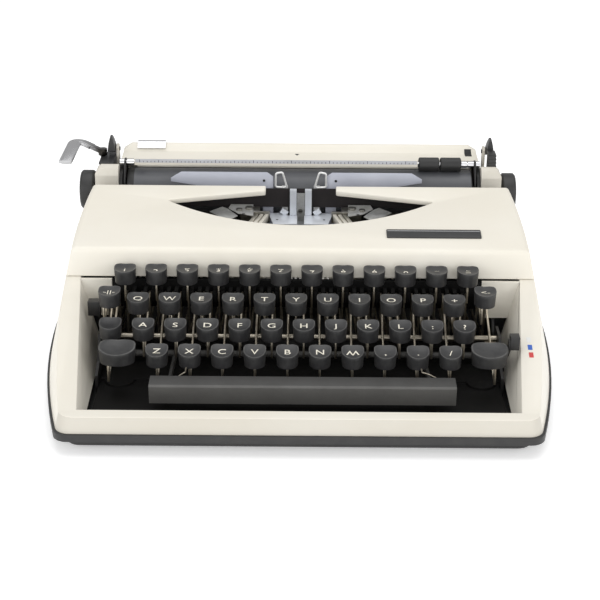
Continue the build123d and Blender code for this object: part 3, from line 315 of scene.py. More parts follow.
# Badge plate
# A plain black strip with a bright line along it, stuck to the slope of the cover.
badge_margin = 0.0006
badge_line_wide, badge_line_thick = 0.0007, 0.00012
badge_line_lift, badge_line_shift = 0.00047, 0.0026
badge_thick, badge_edge = 0.0009, 0.0002
badge_black = painted_surface("badge_black", (0.020, 0.020, 0.021), (0.028, 0.028, 0.028), 0.35)
badge_bright = painted_surface("badge_bright", (0.70, 0.70, 0.71), (0.60, 0.60, 0.61), 0.22, metallic=1.0)
badge_low, badge_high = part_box("badge_plate")
badge_slope = math.atan2(badge_high.z - badge_low.z - badge_thick, badge_high.y - badge_low.y)
badge = solid_of("badge_plate")
soften(badge, badge_edge)
place_piece(badge, "name_strip", "cover", [badge_black], ["badge_plate"])
badge_line = bmesh.new()
bmesh.ops.create_cube(badge_line, size=1.0)
badge_line_long = badge_high.x - badge_low.x - 2 * badge_margin
bmesh.ops.scale(badge_line, vec=(badge_line_long, badge_line_wide, badge_line_thick), verts=badge_line.verts)
badge_centre = (badge_low + badge_high) / 2
badge_up = Vector((0, -math.sin(badge_slope), math.cos(badge_slope)))
badge_along = Vector((0, math.cos(badge_slope), math.sin(badge_slope)))
bmesh.ops.rotate(badge_line, verts=badge_line.verts, matrix=Matrix.Rotation(badge_slope, 3, "X"))
badge_line_place = badge_centre + badge_up * badge_line_lift + badge_along * badge_line_shift
bmesh.ops.translate(badge_line, verts=badge_line.verts, vec=badge_line_place)
place_piece(badge_line, "name_strip_line", "cover", [badge_bright])

# Floor apron, comb and rods
# Blackened sheet, and a black comb beam that keeps the levers in line, on pressed side frames.
# The rods through the frames are bright steel.
sheet_edge = 0.0003
apron_black = painted_surface(
    "apron_black", (0.0035, 0.0034, 0.0033), (0.0055, 0.0052, 0.005), 0.6, grain=0.0005, shine=0.15
)
rod_steel = painted_surface(
    "rod_steel", (0.50, 0.46, 0.38), (0.40, 0.36, 0.29), 0.33, metallic=1.0, spread=0.006
)
apron = solid_of("floor_apron")
soften(apron, sheet_edge, 2)
place_piece(apron, "apron_sheet", "machine", [apron_black], ["floor_apron"])
comb = solid_of("key_comb")
soften(comb, sheet_edge, 2)
place_piece(comb, "comb_beam", "machine", [apron_black], ["key_comb"])
finish_node(rod_steel, "lever_rods")
frame_black = painted_surface("frame_black", (0.012, 0.012, 0.012), (0.020, 0.019, 0.018), 0.5)
finish_node(frame_black, "side_frames")

# Small fittings on the floor
# A screwed steel plate on the right frame, and two bent wires behind the space bar.
plate_left, plate_right = 0.1124, 0.1194
plate_front, plate_back, flange_back = -0.0658, -0.0650, -0.0634
plate_low, plate_high, flange_low, flange_high = 0.0175, 0.0280, 0.0274, 0.0281
plate_screw, plate_screw_radius = (0.1166, plate_front, 0.0232), 0.0019
head_lift, slot_share, slot_thin, slot_proud = 0.0006, 0.85, 0.13, 0.00003
wire_radius = 0.00045
wire_y = -0.112
wire_runs = (
    (
        (0.0702, 0.0333), (0.0706, 0.0313), (0.0747, 0.0300), (0.0783, 0.0281), (0.0815, 0.0250),
        (0.0815, 0.0118),
    ),
    ((-0.0653, 0.0331), (-0.0657, 0.0304), (-0.0683, 0.0287), (-0.0710, 0.0265), (-0.0710, 0.0118)),
)


def add_block(target, low, high, turn=None, about=None):
    """Adds a box between two corners, turned about a point if asked."""
    low, high = Vector(low), Vector(high)
    made = bmesh.ops.create_cube(target, size=1.0)["verts"]
    bmesh.ops.scale(target, vec=high - low, verts=made)
    bmesh.ops.translate(target, vec=(low + high) / 2, verts=made)
    if turn is not None:
        bmesh.ops.rotate(target, cent=Vector(about), matrix=turn, verts=made)


def add_round(target, centre, radius, length, axis="Z", sides=32):
    """Adds a cylinder about an axis through its centre."""
    made = bmesh.ops.create_cone(
        target, cap_ends=True, segments=sides, radius1=radius, radius2=radius, depth=length
    )["verts"]
    if axis == "X":
        bmesh.ops.rotate(target, matrix=Matrix.Rotation(math.pi / 2, 3, "Y"), verts=made)
    if axis == "Y":
        bmesh.ops.rotate(target, matrix=Matrix.Rotation(math.pi / 2, 3, "X"), verts=made)
    bmesh.ops.translate(target, vec=Vector(centre), verts=made)


def add_screw(target, slots, centre, radius, axis="Z", lift=head_lift):
    """Adds a low round head to one mesh and its slot, as a thin dark bar of painted shade, to another."""
    add_round(target, centre, radius, 2 * lift, axis)
    x, y, z = centre
    half, thin = radius * slot_share, radius * slot_thin
    if axis == "Z":
        add_block(slots, (x - half, y - thin, z + lift), (x + half, y + thin, z + lift + slot_proud))
    else:
        add_block(slots, (x - half, y - lift - slot_proud, z - thin), (x + half, y - lift, z + thin))


def add_wire(target, points, radius):
    """Adds a round wire through points, as straight lengths that overlap at the bends."""
    for start, end in zip(points, points[1:]):
        start, end = Vector(start), Vector(end)
        length = (end - start).length + radius
        made = bmesh.ops.create_cone(
            target, cap_ends=True, segments=10, radius1=radius, radius2=radius, depth=length
        )["verts"]
        turn = (end - start).to_track_quat("Z", "Y").to_matrix()
        bmesh.ops.rotate(target, matrix=turn, verts=made)
        bmesh.ops.translate(target, vec=(start + end) / 2, verts=made)


fitting_steel = painted_surface(
    "fitting_steel", (0.44, 0.40, 0.33), (0.30, 0.27, 0.22), 0.4, metallic=1.0, spread=0.004
)
fitting, fitting_head, fitting_slot_shade, wires = (bmesh.new() for count in range(4))
add_block(fitting, (plate_left, plate_front, plate_low), (plate_right, plate_back, plate_high))
add_block(fitting, (plate_left, plate_front, flange_low), (plate_right, flange_back, flange_high))
# The screw's slot is a thin black bar of painted shade
add_screw(fitting_head, fitting_slot_shade, plate_screw, plate_screw_radius, "Y")
for run in wire_runs:
    add_wire(wires, [(x, wire_y, z) for x, z in run], wire_radius)
for solid, name, material in (
    (fitting, "frame_plate", fitting_steel), (fitting_head, "frame_plate_screw", fitting_steel),
    (fitting_slot_shade, "frame_plate_slot_shade", frame_black), (wires, "bent_wires", fitting_steel),
):
    place_piece(solid, name, "machine", [material])

# Keys
# Charcoal caps with a flat back, a round front and a dished top, pressed on flat plated levers.
# Their letters are cream and lie flat in the dish.
key_pitch = 0.019
row_first = (-0.1068, -0.0973, -0.0926, -0.0831)
row_back = (-0.045, -0.064, -0.083, -0.102)
row_height = (0.066, 0.055, 0.0464, 0.0384)
row_lean = (2.0, 4.0, 7.0, 9.0)
row_letters = ("1234567890-=", "QWERTYUIOP+", "ASDFGHJKL:?", "ZXCVBNM,./")
row_signs = ("!\"#$%&'()*_£", "", "", "")
cap_half = 0.00665
cap_deep = 0.0130
cap_tall = 0.0080
cap_nose = 0.0075
cap_rim = 0.0012
cap_sides = 48
cap_back_power, cap_front_power = 4.2, 2.0
dish_ball = 0.0205
dish_back = 0.001
legend_tall = 0.0047
legend_lift, legend_bold, legend_em = 0.00009, 0.00003, 1.42
sign_shift, sign_tall, number_tall = 0.0024, 0.0036, 0.0042
lever_widest, cap_widest = 0.002, 0.03
lever_edge = 0.00015
# The rim of a cap is painted paler between these rings, as wear and as a painted highlight
rim_wear_and_highlight_levels = (3, 4, 5)
# Each ring of a cap, from its foot to its middle: the share of the outline, and the drop below the top
cap_rings = (
    (0.93, 1.0), (0.985, 0.0022), (1.0, 0.0005), (0.992, 0.00021), (0.975, 0.00005), (0.945, 0.0),
    (0.90, 0.0), (0.76, 0.0), (0.58, 0.0), (0.40, 0.0), (0.20, 0.0),
)

cap_plastic = painted_surface(
    "cap_plastic", (0.023, 0.023, 0.024), (0.034, 0.034, 0.034), 0.36, spread=0.005, grain=0.0005
)
# Paler rim finish: wear, and a painted highlight along the rim
cap_wear_and_highlight = painted_surface("cap_wear_and_highlight", (0.080, 0.079, 0.076), (0.045, 0.045, 0.044), 0.35, spread=0.003)
legend_cream = painted_surface(
    "legend_cream", (0.83, 0.79, 0.68), (0.74, 0.70, 0.58), 0.5, spread=0.004
)
lever_plating = painted_surface(
    "lever_plating", (0.60, 0.55, 0.45), (0.38, 0.33, 0.26), 0.36, metallic=1.0, spread=0.005
)


def cap_mesh(target, x, y, z, lean, half=cap_half, deep=cap_deep):
    """Adds one cap to a mesh: a round-fronted prism, drawn in below, with a rim and a dished top."""
    slope = math.tan(math.radians(lean))
    ball = dish_ball * half / cap_half
    outline = []
    for step in range(cap_sides):
        across, along = math.cos(math.tau * step / cap_sides), math.sin(math.tau * step / cap_sides)
        power = cap_front_power if along < 0 else cap_back_power
        steady = (abs(across) ** power + abs(along) ** power) ** (-1.0 / power)
        reach = cap_nose if along < 0 else deep - cap_nose
        outline.append((across * steady * half, along * steady * reach))
    made = bmesh.new()
    rings = []
    for share, drop in cap_rings:
        ring = []
        for across, along in outline:
            px, py = across * share, dish_back + along * share
            away = min(math.hypot(px, py), ball * 0.9)
            height = max(0.0, cap_tall + min(cap_rim, ball - math.sqrt(ball * ball - away * away)) - drop)
            lift = slope * py * height / cap_tall
            ring.append(made.verts.new((x + px, y + py, z - cap_tall + height + lift)))
        rings.append(ring)
    for level, (outer, inner) in enumerate(zip(rings, rings[1:])):
        for step in range(cap_sides):
            after = (step + 1) % cap_sides
            face = made.faces.new((outer[step], outer[after], inner[after], inner[step]))
            # The rim rings take the paler finish, wear and painted highlight
            face.material_index = 1 if level in rim_wear_and_highlight_levels else 0
    middle = made.verts.new((x, y + dish_back, z + slope * dish_back))
    for step in range(cap_sides):
        made.faces.new((rings[-1][step], rings[-1][(step + 1) % cap_sides], middle))
    made.faces.new(reversed(rings[0]))
    spare = bpy.data.meshes.new("spare")
    made.to_mesh(spare)
    made.free()
    target.from_mesh(spare)
    bpy.data.meshes.remove(spare)


def legend_mesh(target, words, x, y, z, lean, tall=legend_tall, wide=1.1, half=cap_half):
    """Adds flat letters to a mesh, laid on the dished top of a cap; an M is a W turned half round."""
    curve = bpy.data.curves.new("letters", "FONT")
    turned = -1.0 if words == "M" else 1.0
    curve.body = "W" if words == "M" else words
    curve.size = tall * legend_em
    curve.align_x = "CENTER"
    curve.align_y = "CENTER"
    curve.offset = legend_bold
    curve.resolution_u = 4
    letters = bpy.data.objects.new("letters", curve)
    flat = bpy.data.meshes.new_from_object(letters)
    bpy.data.objects.remove(letters)
    bpy.data.curves.remove(curve)
    slope = math.tan(math.radians(lean))
    ball = dish_ball * half / cap_half
    made = bmesh.new()
    made.from_mesh(flat)
    bpy.data.meshes.remove(flat)
    for vert in made.verts:
        across, along = vert.co.x * wide * turned, vert.co.y * turned
        dish = ball - math.sqrt(ball * ball - across * across - along * along)
        vert.co = (x + across, y + along, z + dish + slope * along + legend_lift)
    spare = bpy.data.meshes.new("spare")
    made.to_mesh(spare)
    made.free()
    target.from_mesh(spare)
    bpy.data.meshes.remove(spare)


def islands_of(solid):
    """The separate bodies of a mesh, each as a list of its points."""
    seen, islands = set(), []
    for start in solid.verts:
        if start in seen:
            continue
        island, front = [], [start]
        seen.add(start)
        while front:
            vert = front.pop()
            island.append(vert)
            fresh = [edge.other_vert(vert) for edge in vert.link_edges]
            fresh = [other for other in fresh if other not in seen]
            seen.update(fresh)
            front += fresh
        islands.append(island)
    return islands


def lever_mesh(node):
    """The flat plates of a key node, without its caps, with their edges broken."""
    plates = solid_of(node)
    cap_parts = []
    for island in islands_of(plates):
        width = max(vert.co.x for vert in island) - min(vert.co.x for vert in island)
        if lever_widest < width < cap_widest:
            cap_parts += island
    bmesh.ops.delete(plates, geom=cap_parts, context="VERTS")
    soften(plates, lever_edge, 2)
    return plates


def key_set(node, body, caps):
    """Caps, levers and legends of one node, each as a piece."""
    tops, words = bmesh.new(), bmesh.new()
    for x, y, z, lean, half, deep, letters in caps:
        cap_mesh(tops, x, y, z, lean, half, deep)
        for text, shift, tall in letters:
            legend_mesh(words, text, x, y + shift, z + shift * math.tan(math.radians(lean)), lean, tall)
    place_piece(tops, node + "_caps", body, [cap_plastic, cap_wear_and_highlight], [node])
    place_piece(lever_mesh(node), node + "_levers", body, [lever_plating])
    if words.faces:
        place_piece(words, node + "_legends", body, [legend_cream])
    else:
        words.free()


for row in range(4):
    made_caps = []
    for place, letter in enumerate(row_letters[row]):
        if row_signs[row]:
            legends = [(row_signs[row][place], sign_shift, sign_tall), (letter, -sign_shift, number_tall)]
        else:
            legends = [(letter, 0.0, legend_tall)]
        cap_x = row_first[row] + key_pitch * place
        one = (cap_x, row_back[row], row_height[row], row_lean[row], cap_half, cap_deep, legends)
        if row == 2:
            key_set(f"home_key_{place + 1:02d}", f"home_key_{place + 1:02d}", [one])
        made_caps.append(one)
    if row != 2:
        row_name = ("number_row", "top_row", "home_row", "bottom_row")[row]
        key_set(row_name + "_keys", row_name, made_caps)

# Shift and side keys
# Two wide shift caps, the shift lock, the margin release and the backspace, on the same levers.
shift_half, shift_deep = 0.0108, 0.015
side_legend_tall = 0.0040
for node, body, caps in (
    ("shift_keys", "shift", [
        (-0.1062, -0.102, 0.0394, 9.0, shift_half, shift_deep, []),
        (0.1106, -0.102, 0.0394, 9.0, shift_half, shift_deep, []),
    ]),
    ("shift_lock_key", "shift_lock", [(-0.112, -0.083, 0.0466, 7.0, cap_half, cap_deep, [])]),
    ("margin_release_key", "margin_release",
     [(-0.1143, -0.064, 0.059, 4.0, cap_half, cap_deep, [("-||-", 0.0, side_legend_tall)])]),
    ("backspace_key", "backspace",
     [(0.111, -0.064, 0.0605, 4.0, cap_half, cap_deep, [("<-", 0.0, side_legend_tall)])]),
):
    key_set(node, body, caps)

# Space bar
# A grey moulded bar with a narrow sloping top, on two arms that turn with their shaft.
bar_edge = 0.0005
shaded_top_normal = 0.97
bar_grey = painted_surface(
    "bar_grey", (0.098, 0.096, 0.091), (0.082, 0.080, 0.076), 0.5, spread=0.02, grain=0.0005
)
# The darker finish of the bar's top is painted shade
bar_top_painted_shade = painted_surface(
    "bar_top_painted_shade", (0.060, 0.059, 0.057), (0.050, 0.049, 0.047), 0.5, grain=0.0005
)
bar = solid_of("space_bar")
soften(bar, bar_edge, 3)
# Upward faces of the bar take the painted shade
for face in bar.faces:
    face.material_index = 1 if face.normal.z > shaded_top_normal else 0
place_piece(bar, "long_bar", "space_bar", [bar_grey, bar_top_painted_shade], ["space_bar"])

# Selector levers and colour marks
# Black moulded heads by the side walls, and three printed dots on the rail beside the right one.
selector_edge = 0.0009
selector_black = painted_surface("selector_black", (0.010, 0.010, 0.010), (0.016, 0.016, 0.016), 0.4)
for node, body in (("color_selector", "color_selector"), ("touch_lever", "touch_lever")):
    lever = solid_of(node)
    soften(lever, selector_edge, 3)
    place_piece(lever, node + "_arm", body, [selector_black], [node])

rail_rise = math.atan2(0.034, 0.109)
rail_foot_y, rail_foot_z = -0.145, 0.023
mark_x = 0.1349
mark_size = (0.0026, 0.0042, 0.0003)
for dot, (dot_y, dot_colour) in enumerate((
    (-0.0876, (0.88, 0.88, 0.86)), (-0.0937, (0.03, 0.13, 0.55)), (-0.0999, (0.62, 0.05, 0.05)),
)):
    ink = painted_surface(f"dot_ink_{dot}", dot_colour, tuple(0.85 * tone for tone in dot_colour), 0.45)
    mark = bmesh.new()
    bmesh.ops.create_cube(mark, size=1.0)
    bmesh.ops.scale(mark, vec=mark_size, verts=mark.verts)
    bmesh.ops.rotate(mark, verts=mark.verts, matrix=Matrix.Rotation(rail_rise, 3, "X"))
    mark_z = rail_foot_z + (dot_y - rail_foot_y) * math.tan(rail_rise)
    bmesh.ops.translate(mark, verts=mark.verts, vec=(mark_x, dot_y, mark_z))
    place_piece(mark, f"colour_mark_{dot + 1}", "machine", [ink])

# Type basket
# Forty-four thin steel bars fan round their slotted segment and lie on a felt rest.
bar_steel = painted_surface(
    "bar_steel", (0.62, 0.59, 0.52), (0.42, 0.39, 0.33), 0.34, metallic=1.0, spread=0.004
)
segment_steel = painted_surface("segment_steel", (0.30, 0.29, 0.27), (0.20, 0.19, 0.18), 0.42, metallic=1.0)
rest_felt = painted_surface(
    "rest_felt", (0.11, 0.10, 0.09), (0.07, 0.065, 0.06), 0.95, spread=0.003, grain=0.0003
)
finish_node(bar_steel, "type_bars", "center_type_bar")
finish_node(segment_steel, "type_segment")
finish_node(rest_felt, "type_rest")

# Type guide and brackets
# Bright posts that steer the type to the platen, white wings beside them and two screwed angle plates.
guide_white = painted_surface("guide_white", (0.78, 0.81, 0.86), (0.68, 0.71, 0.76), 0.3, metallic=0.3)
bracket_edge = 0.0003
plate_steel = painted_surface(
    "plate_steel", (0.40, 0.39, 0.36), (0.30, 0.29, 0.26), 0.36, metallic=1.0, spread=0.006
)
finish_node(guide_white, "type_guide")
bracket = solid_of("segment_brackets")
soften(bracket, bracket_edge, 2)
place_piece(bracket, "angle_plates", "machine", [plate_steel], ["segment_brackets"])

# Plates round the type guide
# Pale sheets on the wings and brackets, ribbed cream blocks beside them, and the screws that hold them.
millimetre = 0.001
wing_outline = ((2.3, 30.0), (18.0, 30.2), (21.4, 50.0), (14.5, 50.6), (8.6, 46.0), (2.3, 46.0))
wing_low, wing_high = 0.0671, 0.0676
plate_outline = ((30.8, 29.0), (41.0, 33.5), (47.8, 43.0), (46.5, 50.2), (31.6, 50.2))
plate_floor, plate_roof = 0.0731, 0.0737
wedge_outline = ((41.2, 30.0), (47.5, 21.0), (60.0, 37.6), (52.0, 46.8), (48.2, 43.0))
wedge_floor, wedge_roof = 0.0726, 0.0732
blade_x, blade_half = 0.0112, 0.0024
blade_lean = math.radians(32)
rib_first, rib_step, rib_half, rib_count = 22.4, 3.5, 0.0011, 3
rib_slant = math.radians(14)
wing_hole, wing_hole_radius = (0.0155, 0.038), 0.0008
plate_hole, plate_hole_radius = (0.0375, 0.0318), 0.0010
hole_thick = 0.0001
pin_head, pin_head_radius, pin_head_tall = (0.034, 0.042), 0.0027, 0.0012
basket_screw, basket_screw_radius = (0.0405, 0.0395), 0.0021
small_edge = 0.00012


def add_sheet(target, outline, low, high):
    """Adds a level plate with an outline in X and Y, between two heights."""
    floor = target.faces.new([target.verts.new((x, y, low)) for x, y in outline])
    grown = bmesh.ops.extrude_face_region(target, geom=[floor], use_keep_orig=True)["geom"]
    lifted = [item for item in grown if isinstance(item, bmesh.types.BMVert)]
    bmesh.ops.translate(target, vec=(0, 0, high - low), verts=lifted)
    plate = set(floor.verts) | set(lifted)
    faces = [face for face in target.faces if plate.issuperset(face.verts)]
    bmesh.ops.recalc_face_normals(target, faces=faces)


def mirrored(outline, side):
    """An outline in metres on the left (-1) or right (1) side."""
    return [(millimetre * side * x, millimetre * y) for x, y in outline]


bare_zinc = painted_surface(
    "bare_zinc", (0.66, 0.66, 0.64), (0.52, 0.52, 0.49), 0.42, metallic=0.6, spread=0.006
)
# Dark finish for painted shade in slots and holes, and for dark marks and rivets
slot_shade_and_marks = painted_surface("slot_shade_and_marks", (0.012, 0.012, 0.012), (0.020, 0.020, 0.020), 0.6)
# Holes and screw slots are drawn as thin dark discs and bars of painted shade
pale_sheets, zinc_sheets, cream_ribs, heads, hole_and_slot_shades = (bmesh.new() for count in range(5))
for side in (-1, 1):
    add_sheet(pale_sheets, mirrored(wing_outline, side), wing_low, wing_high)
    add_round(hole_and_slot_shades, (wing_hole[0] * side, wing_hole[1], wing_high), wing_hole_radius, hole_thick)
    blade_low = (blade_x * side - blade_half, 0.0470, 0.0677)
    blade_high = (blade_x * side + blade_half, 0.0482, 0.0712)
    blade_turn = Matrix.Rotation(-side * blade_lean, 3, "Y")
    add_block(pale_sheets, blade_low, blade_high, blade_turn, (blade_x * side, 0.0476, 0.0690))
    for rib in range(rib_count):
        x = millimetre * side * (rib_first + rib_step * rib)
        rib_low, rib_high = (x - rib_half, 0.0262, 0.0640), (x + rib_half, 0.0452, 0.0688)
        rib_turn = Matrix.Rotation(side * rib_slant, 3, "Z")
        add_block(cream_ribs, rib_low, rib_high, rib_turn, (x, 0.0452, 0.069))
    add_sheet(zinc_sheets, mirrored(plate_outline, side), plate_floor, plate_roof)
    add_sheet(zinc_sheets, mirrored(wedge_outline, side), wedge_floor, wedge_roof)
    add_round(heads, (pin_head[0] * side, pin_head[1], 0.0742), pin_head_radius, pin_head_tall)
    add_screw(heads, hole_and_slot_shades, (basket_screw[0] * side, basket_screw[1], 0.0740), basket_screw_radius)
    add_round(hole_and_slot_shades, (plate_hole[0] * side, plate_hole[1], 0.0738), plate_hole_radius, hole_thick)
for solid, name, material in (
    (pale_sheets, "wing_sheets", guide_white), (zinc_sheets, "bracket_sheets", bare_zinc),
    (cream_ribs, "ribbed_blocks", shell_plastic), (heads, "basket_screws", plate_steel),
    (hole_and_slot_shades, "basket_slot_shades", slot_shade_and_marks),
):
    soften(solid, small_edge, 2, 40.0)
    place_piece(solid, name, "machine", [material])

# Card holders
# Thin clear plastic plates, faintly blue, that hold the paper to the platen.
holder_edge = 0.0002
holder_dot_places = ((-0.0245, 0.05415, 0.0890), (0.0232, 0.05415, 0.0890))
holder_dot_radius, holder_dot_thick = 0.0009, 0.0001
clear_plastic = bpy.data.materials.new("clear_plastic")
clear_plastic.use_nodes = True
clear_shader = clear_plastic.node_tree.nodes["Principled BSDF"]
clear_shader.inputs["Roughness"].default_value = 0.22
clear_shader.inputs["Alpha"].default_value = 0.72
clear_noise = node_at(clear_plastic, "ShaderNodeTexNoise")
clear_noise.inputs["Scale"].default_value = 60.0
clear_place = node_at(clear_plastic, "ShaderNodeTexCoord")
clear_tones = node_at(clear_plastic, "ShaderNodeValToRGB")
clear_tones.color_ramp.elements[0].color = (0.52, 0.54, 0.63, 1.0)
clear_tones.color_ramp.elements[1].color = (0.66, 0.68, 0.76, 1.0)
clear_plastic.node_tree.links.new(clear_place.outputs["Object"], clear_noise.inputs["Vector"])
clear_plastic.node_tree.links.new(clear_noise.outputs["Fac"], clear_tones.inputs["Fac"])
clear_plastic.node_tree.links.new(clear_tones.outputs["Color"], clear_shader.inputs["Base Color"])
holders = solid_of("card_holders")
soften(holders, holder_edge, 2)
place_piece(holders, "clear_guides", "machine", [clear_plastic], ["card_holders"])
holder_dots = bmesh.new()
for dot_place in holder_dot_places:
    add_round(holder_dots, dot_place, holder_dot_radius, holder_dot_thick, "Y")
place_piece(holder_dots, "holder_rivets", "machine", [slot_shade_and_marks])

# Ribbon, vibrator and spools
# An inked cotton band between two tin spools, lifted at the middle by a bright wire fork.
lift_half = 0.0026
lift_front, lift_back, lift_foot_back = 0.05115, 0.05145, 0.05265
ribbon_cotton = painted_surface(
    "ribbon_cotton", (0.014, 0.011, 0.012), (0.022, 0.018, 0.018), 0.85, grain=0.0003
)
wire_bright = painted_surface("wire_bright", (0.90, 0.90, 0.89), (0.80, 0.80, 0.79), 0.3, metallic=0.5)
spool_black = painted_surface("spool_black", (0.018, 0.018, 0.018), (0.026, 0.025, 0.024), 0.4)
finish_node(ribbon_cotton, "ribbon")
finish_node(wire_bright, "ribbon_vibrator")
finish_node(spool_black, "spool_left", "spool_right", "spool_cups")
lift_plate, lift_heads, lift_slot_shades = bmesh.new(), bmesh.new(), bmesh.new()
add_block(lift_plate, (-lift_half, lift_front, 0.0640), (lift_half, lift_back, 0.0815))
add_block(lift_plate, (-lift_half, lift_front, 0.0615), (lift_half, lift_foot_back, 0.0642))
# The screw's slot is a thin dark bar of painted shade
add_screw(lift_heads, lift_slot_shades, (-0.0002, 0.05095, 0.0688), 0.0015, "Y", 0.0003)
place_piece(lift_plate, "lift_plate", "vibrator", [bare_zinc])
place_piece(lift_heads, "lift_plate_screw", "vibrator", [plate_steel])
place_piece(lift_slot_shades, "lift_plate_slot_shade", "vibrator", [slot_shade_and_marks])

# Carriage bed, bell and drive
# Folded steel beam with the escapement wheel, the mainspring drum and a brass bell behind it.
bed_steel = painted_surface("bed_steel", (0.34, 0.33, 0.30), (0.26, 0.25, 0.23), 0.4, metallic=1.0)
bell_brass = painted_surface("bell_brass", (0.60, 0.45, 0.20), (0.50, 0.36, 0.15), 0.28, metallic=1.0)
finish_node(bed_steel, "carriage_bed", "escapement_wheel", "spring_drum")
finish_node(bed_steel, "margin_stop_left", "margin_stop_right")
finish_node(frame_black, "carriage_frame")
finish_node(bell_brass, "bell")

# Platen and rollers
# Hard dark grey rubber on a steel shaft, with ribbed black knobs, feed rollers and bail rollers.
platen_rubber = painted_surface(
    "platen_rubber", (0.095, 0.098, 0.106), (0.083, 0.086, 0.094), 0.40, spread=0.03, grain=0.0005
)
knob_black = painted_surface("knob_black", (0.020, 0.020, 0.020), (0.028, 0.028, 0.028), 0.45)
roller_rubber = painted_surface("roller_rubber", (0.017, 0.017, 0.017), (0.024, 0.024, 0.023), 0.5)
sleeve_left, sleeve_right = -0.1118, 0.1140
knob_edge = 0.0004
platen = solid_of("platen")
for cut in (sleeve_left, sleeve_right):
    everything = list(platen.verts) + list(platen.edges) + list(platen.faces)
    bmesh.ops.bisect_plane(platen, geom=everything, dist=0.000001, plane_co=(cut, 0, 0), plane_no=(1, 0, 0))
for face in platen.faces:
    face.material_index = 0 if sleeve_left < face.calc_center_median().x < sleeve_right else 1
place_piece(platen, "platen_sleeve", "platen", [platen_rubber, roller_rubber], ["platen"])
knobs = solid_of("platen_knobs")
soften(knobs, knob_edge, 2, 40.0)
place_piece(knobs, "turning_knobs", "platen", [knob_black], ["platen_knobs"])
finish_node(roller_rubber, "feed_rollers", "bail_rollers")

# End caps and paper table
# Cream mouldings over the ends of the carriage, and the cream shelf that the paper stands on.
moulding_cream = painted_surface(
    "moulding_cream", (0.66, 0.63, 0.56), (0.61, 0.575, 0.50), 0.45, spread=0.03, grain=0.0009
)
stand_foot = 0.07
stand_edge, moulding_edge, shelf_edge = 0.0004, 0.0013, 0.0004
ridge_first, ridge_step, ridge_tall, ridge_count = 0.0955, 0.0022, 0.0009, 4
mouldings = solid_of("carriage_end_caps")
stands = mouldings.copy()
for solid, standing in ((mouldings, False), (stands, True)):
    spare = []
    for island in islands_of(solid):
        if (min(vert.co.z for vert in island) > stand_foot) != standing:
            spare += island
    bmesh.ops.delete(solid, geom=spare, context="VERTS")
    soften(solid, stand_edge if standing else moulding_edge, 3, 28.0)
for ridge in range(ridge_count):
    height = ridge_first + ridge_step * ridge
    ridge_front = 0.0657 + 0.0009 * ridge
    add_block(stands, (0.1254, ridge_front, height), (0.1308, 0.0700, height + ridge_tall))
place_piece(mouldings, "end_mouldings", "carriage", [moulding_cream], ["carriage_end_caps"])
place_piece(stands, "end_stands", "carriage", [knob_black])
shelf = solid_of("paper_table")
soften(shelf, shelf_edge, 3, 25.0)
add_block(shelf, (-0.1110, 0.0769, 0.0904), (0.1140, 0.0781, 0.0935))
place_piece(shelf, "paper_shelf", "carriage", [shell_plastic], ["paper_table"])
shelf_marks = bmesh.new()
add_sheet(shelf_marks, [(-0.0044, 0.0874), (-0.0028, 0.0842), (-0.0012, 0.0874)], 0.0965, 0.09685)
hole_side = (
    (0.0852, 0.0961), (0.0852, 0.09683), (0.0907, 0.09702), (0.0930, 0.09932), (0.0933, 0.0990),
    (0.0909, 0.0961),
)
# A dark block fills the hole in the shelf as painted shade
hole_shade_block = bmesh.new()
add_sheet(hole_shade_block, hole_side, 0.1118, 0.1164)
for vert in hole_shade_block.verts:
    vert.co = (vert.co.z, vert.co.x, vert.co.y)
bmesh.ops.recalc_face_normals(hole_shade_block, faces=hole_shade_block.faces)
place_piece(shelf_marks, "shelf_marks", "carriage", [slot_shade_and_marks])
place_piece(hole_shade_block, "shelf_hole_shade", "carriage", [slot_shade_and_marks])

# Bail, guide and levers
# Bright bail with a ruled strip, a chrome paper guide, the black release ears and the return lever.
# The lever's plating is painted dark towards its pivot, as a painted dark reflection.
scale_left, scale_right = -0.1110, 0.0775
scale_low, scale_high = 0.0973, 0.0998
tick_first, tick_step, tick_half, tick_count = -0.1080, 0.00254, 0.00022, 73
tick_foot, tick_short, tick_middle, tick_long = 0.0975, 0.0010, 0.0015, 0.0019
bail_ends = (
    (-0.1216, -0.1186), (-0.1165, -0.1122), (0.1078, 0.1112), (0.1122, 0.1158), (0.1174, 0.1200),
)
bail_end_radius = 0.0024
bail_axis = (0.0696, 0.096)
bail_front, bail_strip_back, bail_strip_low, bail_strip_high = 0.065, 0.0668, 0.0950, 0.1003
bail_strip_right, bail_black_from = 0.0785, 0.1155
guide_share = 0.45
lever_bar_edge, bail_edge, ear_edge = 0.0004, 0.0003, 0.0008
chrome = painted_surface("chrome", (0.80, 0.80, 0.81), (0.68, 0.68, 0.70), 0.13, metallic=1.0, spread=0.01)
# Blue-grey finish for the lower front of the chrome guide: a painted reflection
guide_painted_reflection = painted_surface(
    "guide_painted_reflection", (0.36, 0.39, 0.45), (0.28, 0.31, 0.37), 0.3, metallic=0.6, spread=0.006
)
side_guide = solid_of("paper_guide")
guide_low, guide_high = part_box("paper_guide")
guide_split = guide_low.z + guide_share * (guide_high.z - guide_low.z)
everything = list(side_guide.verts) + list(side_guide.edges) + list(side_guide.faces)
bmesh.ops.bisect_plane(
    side_guide, geom=everything, dist=0.000001, plane_co=(0, 0, guide_split), plane_no=(0, 0, 1)
)
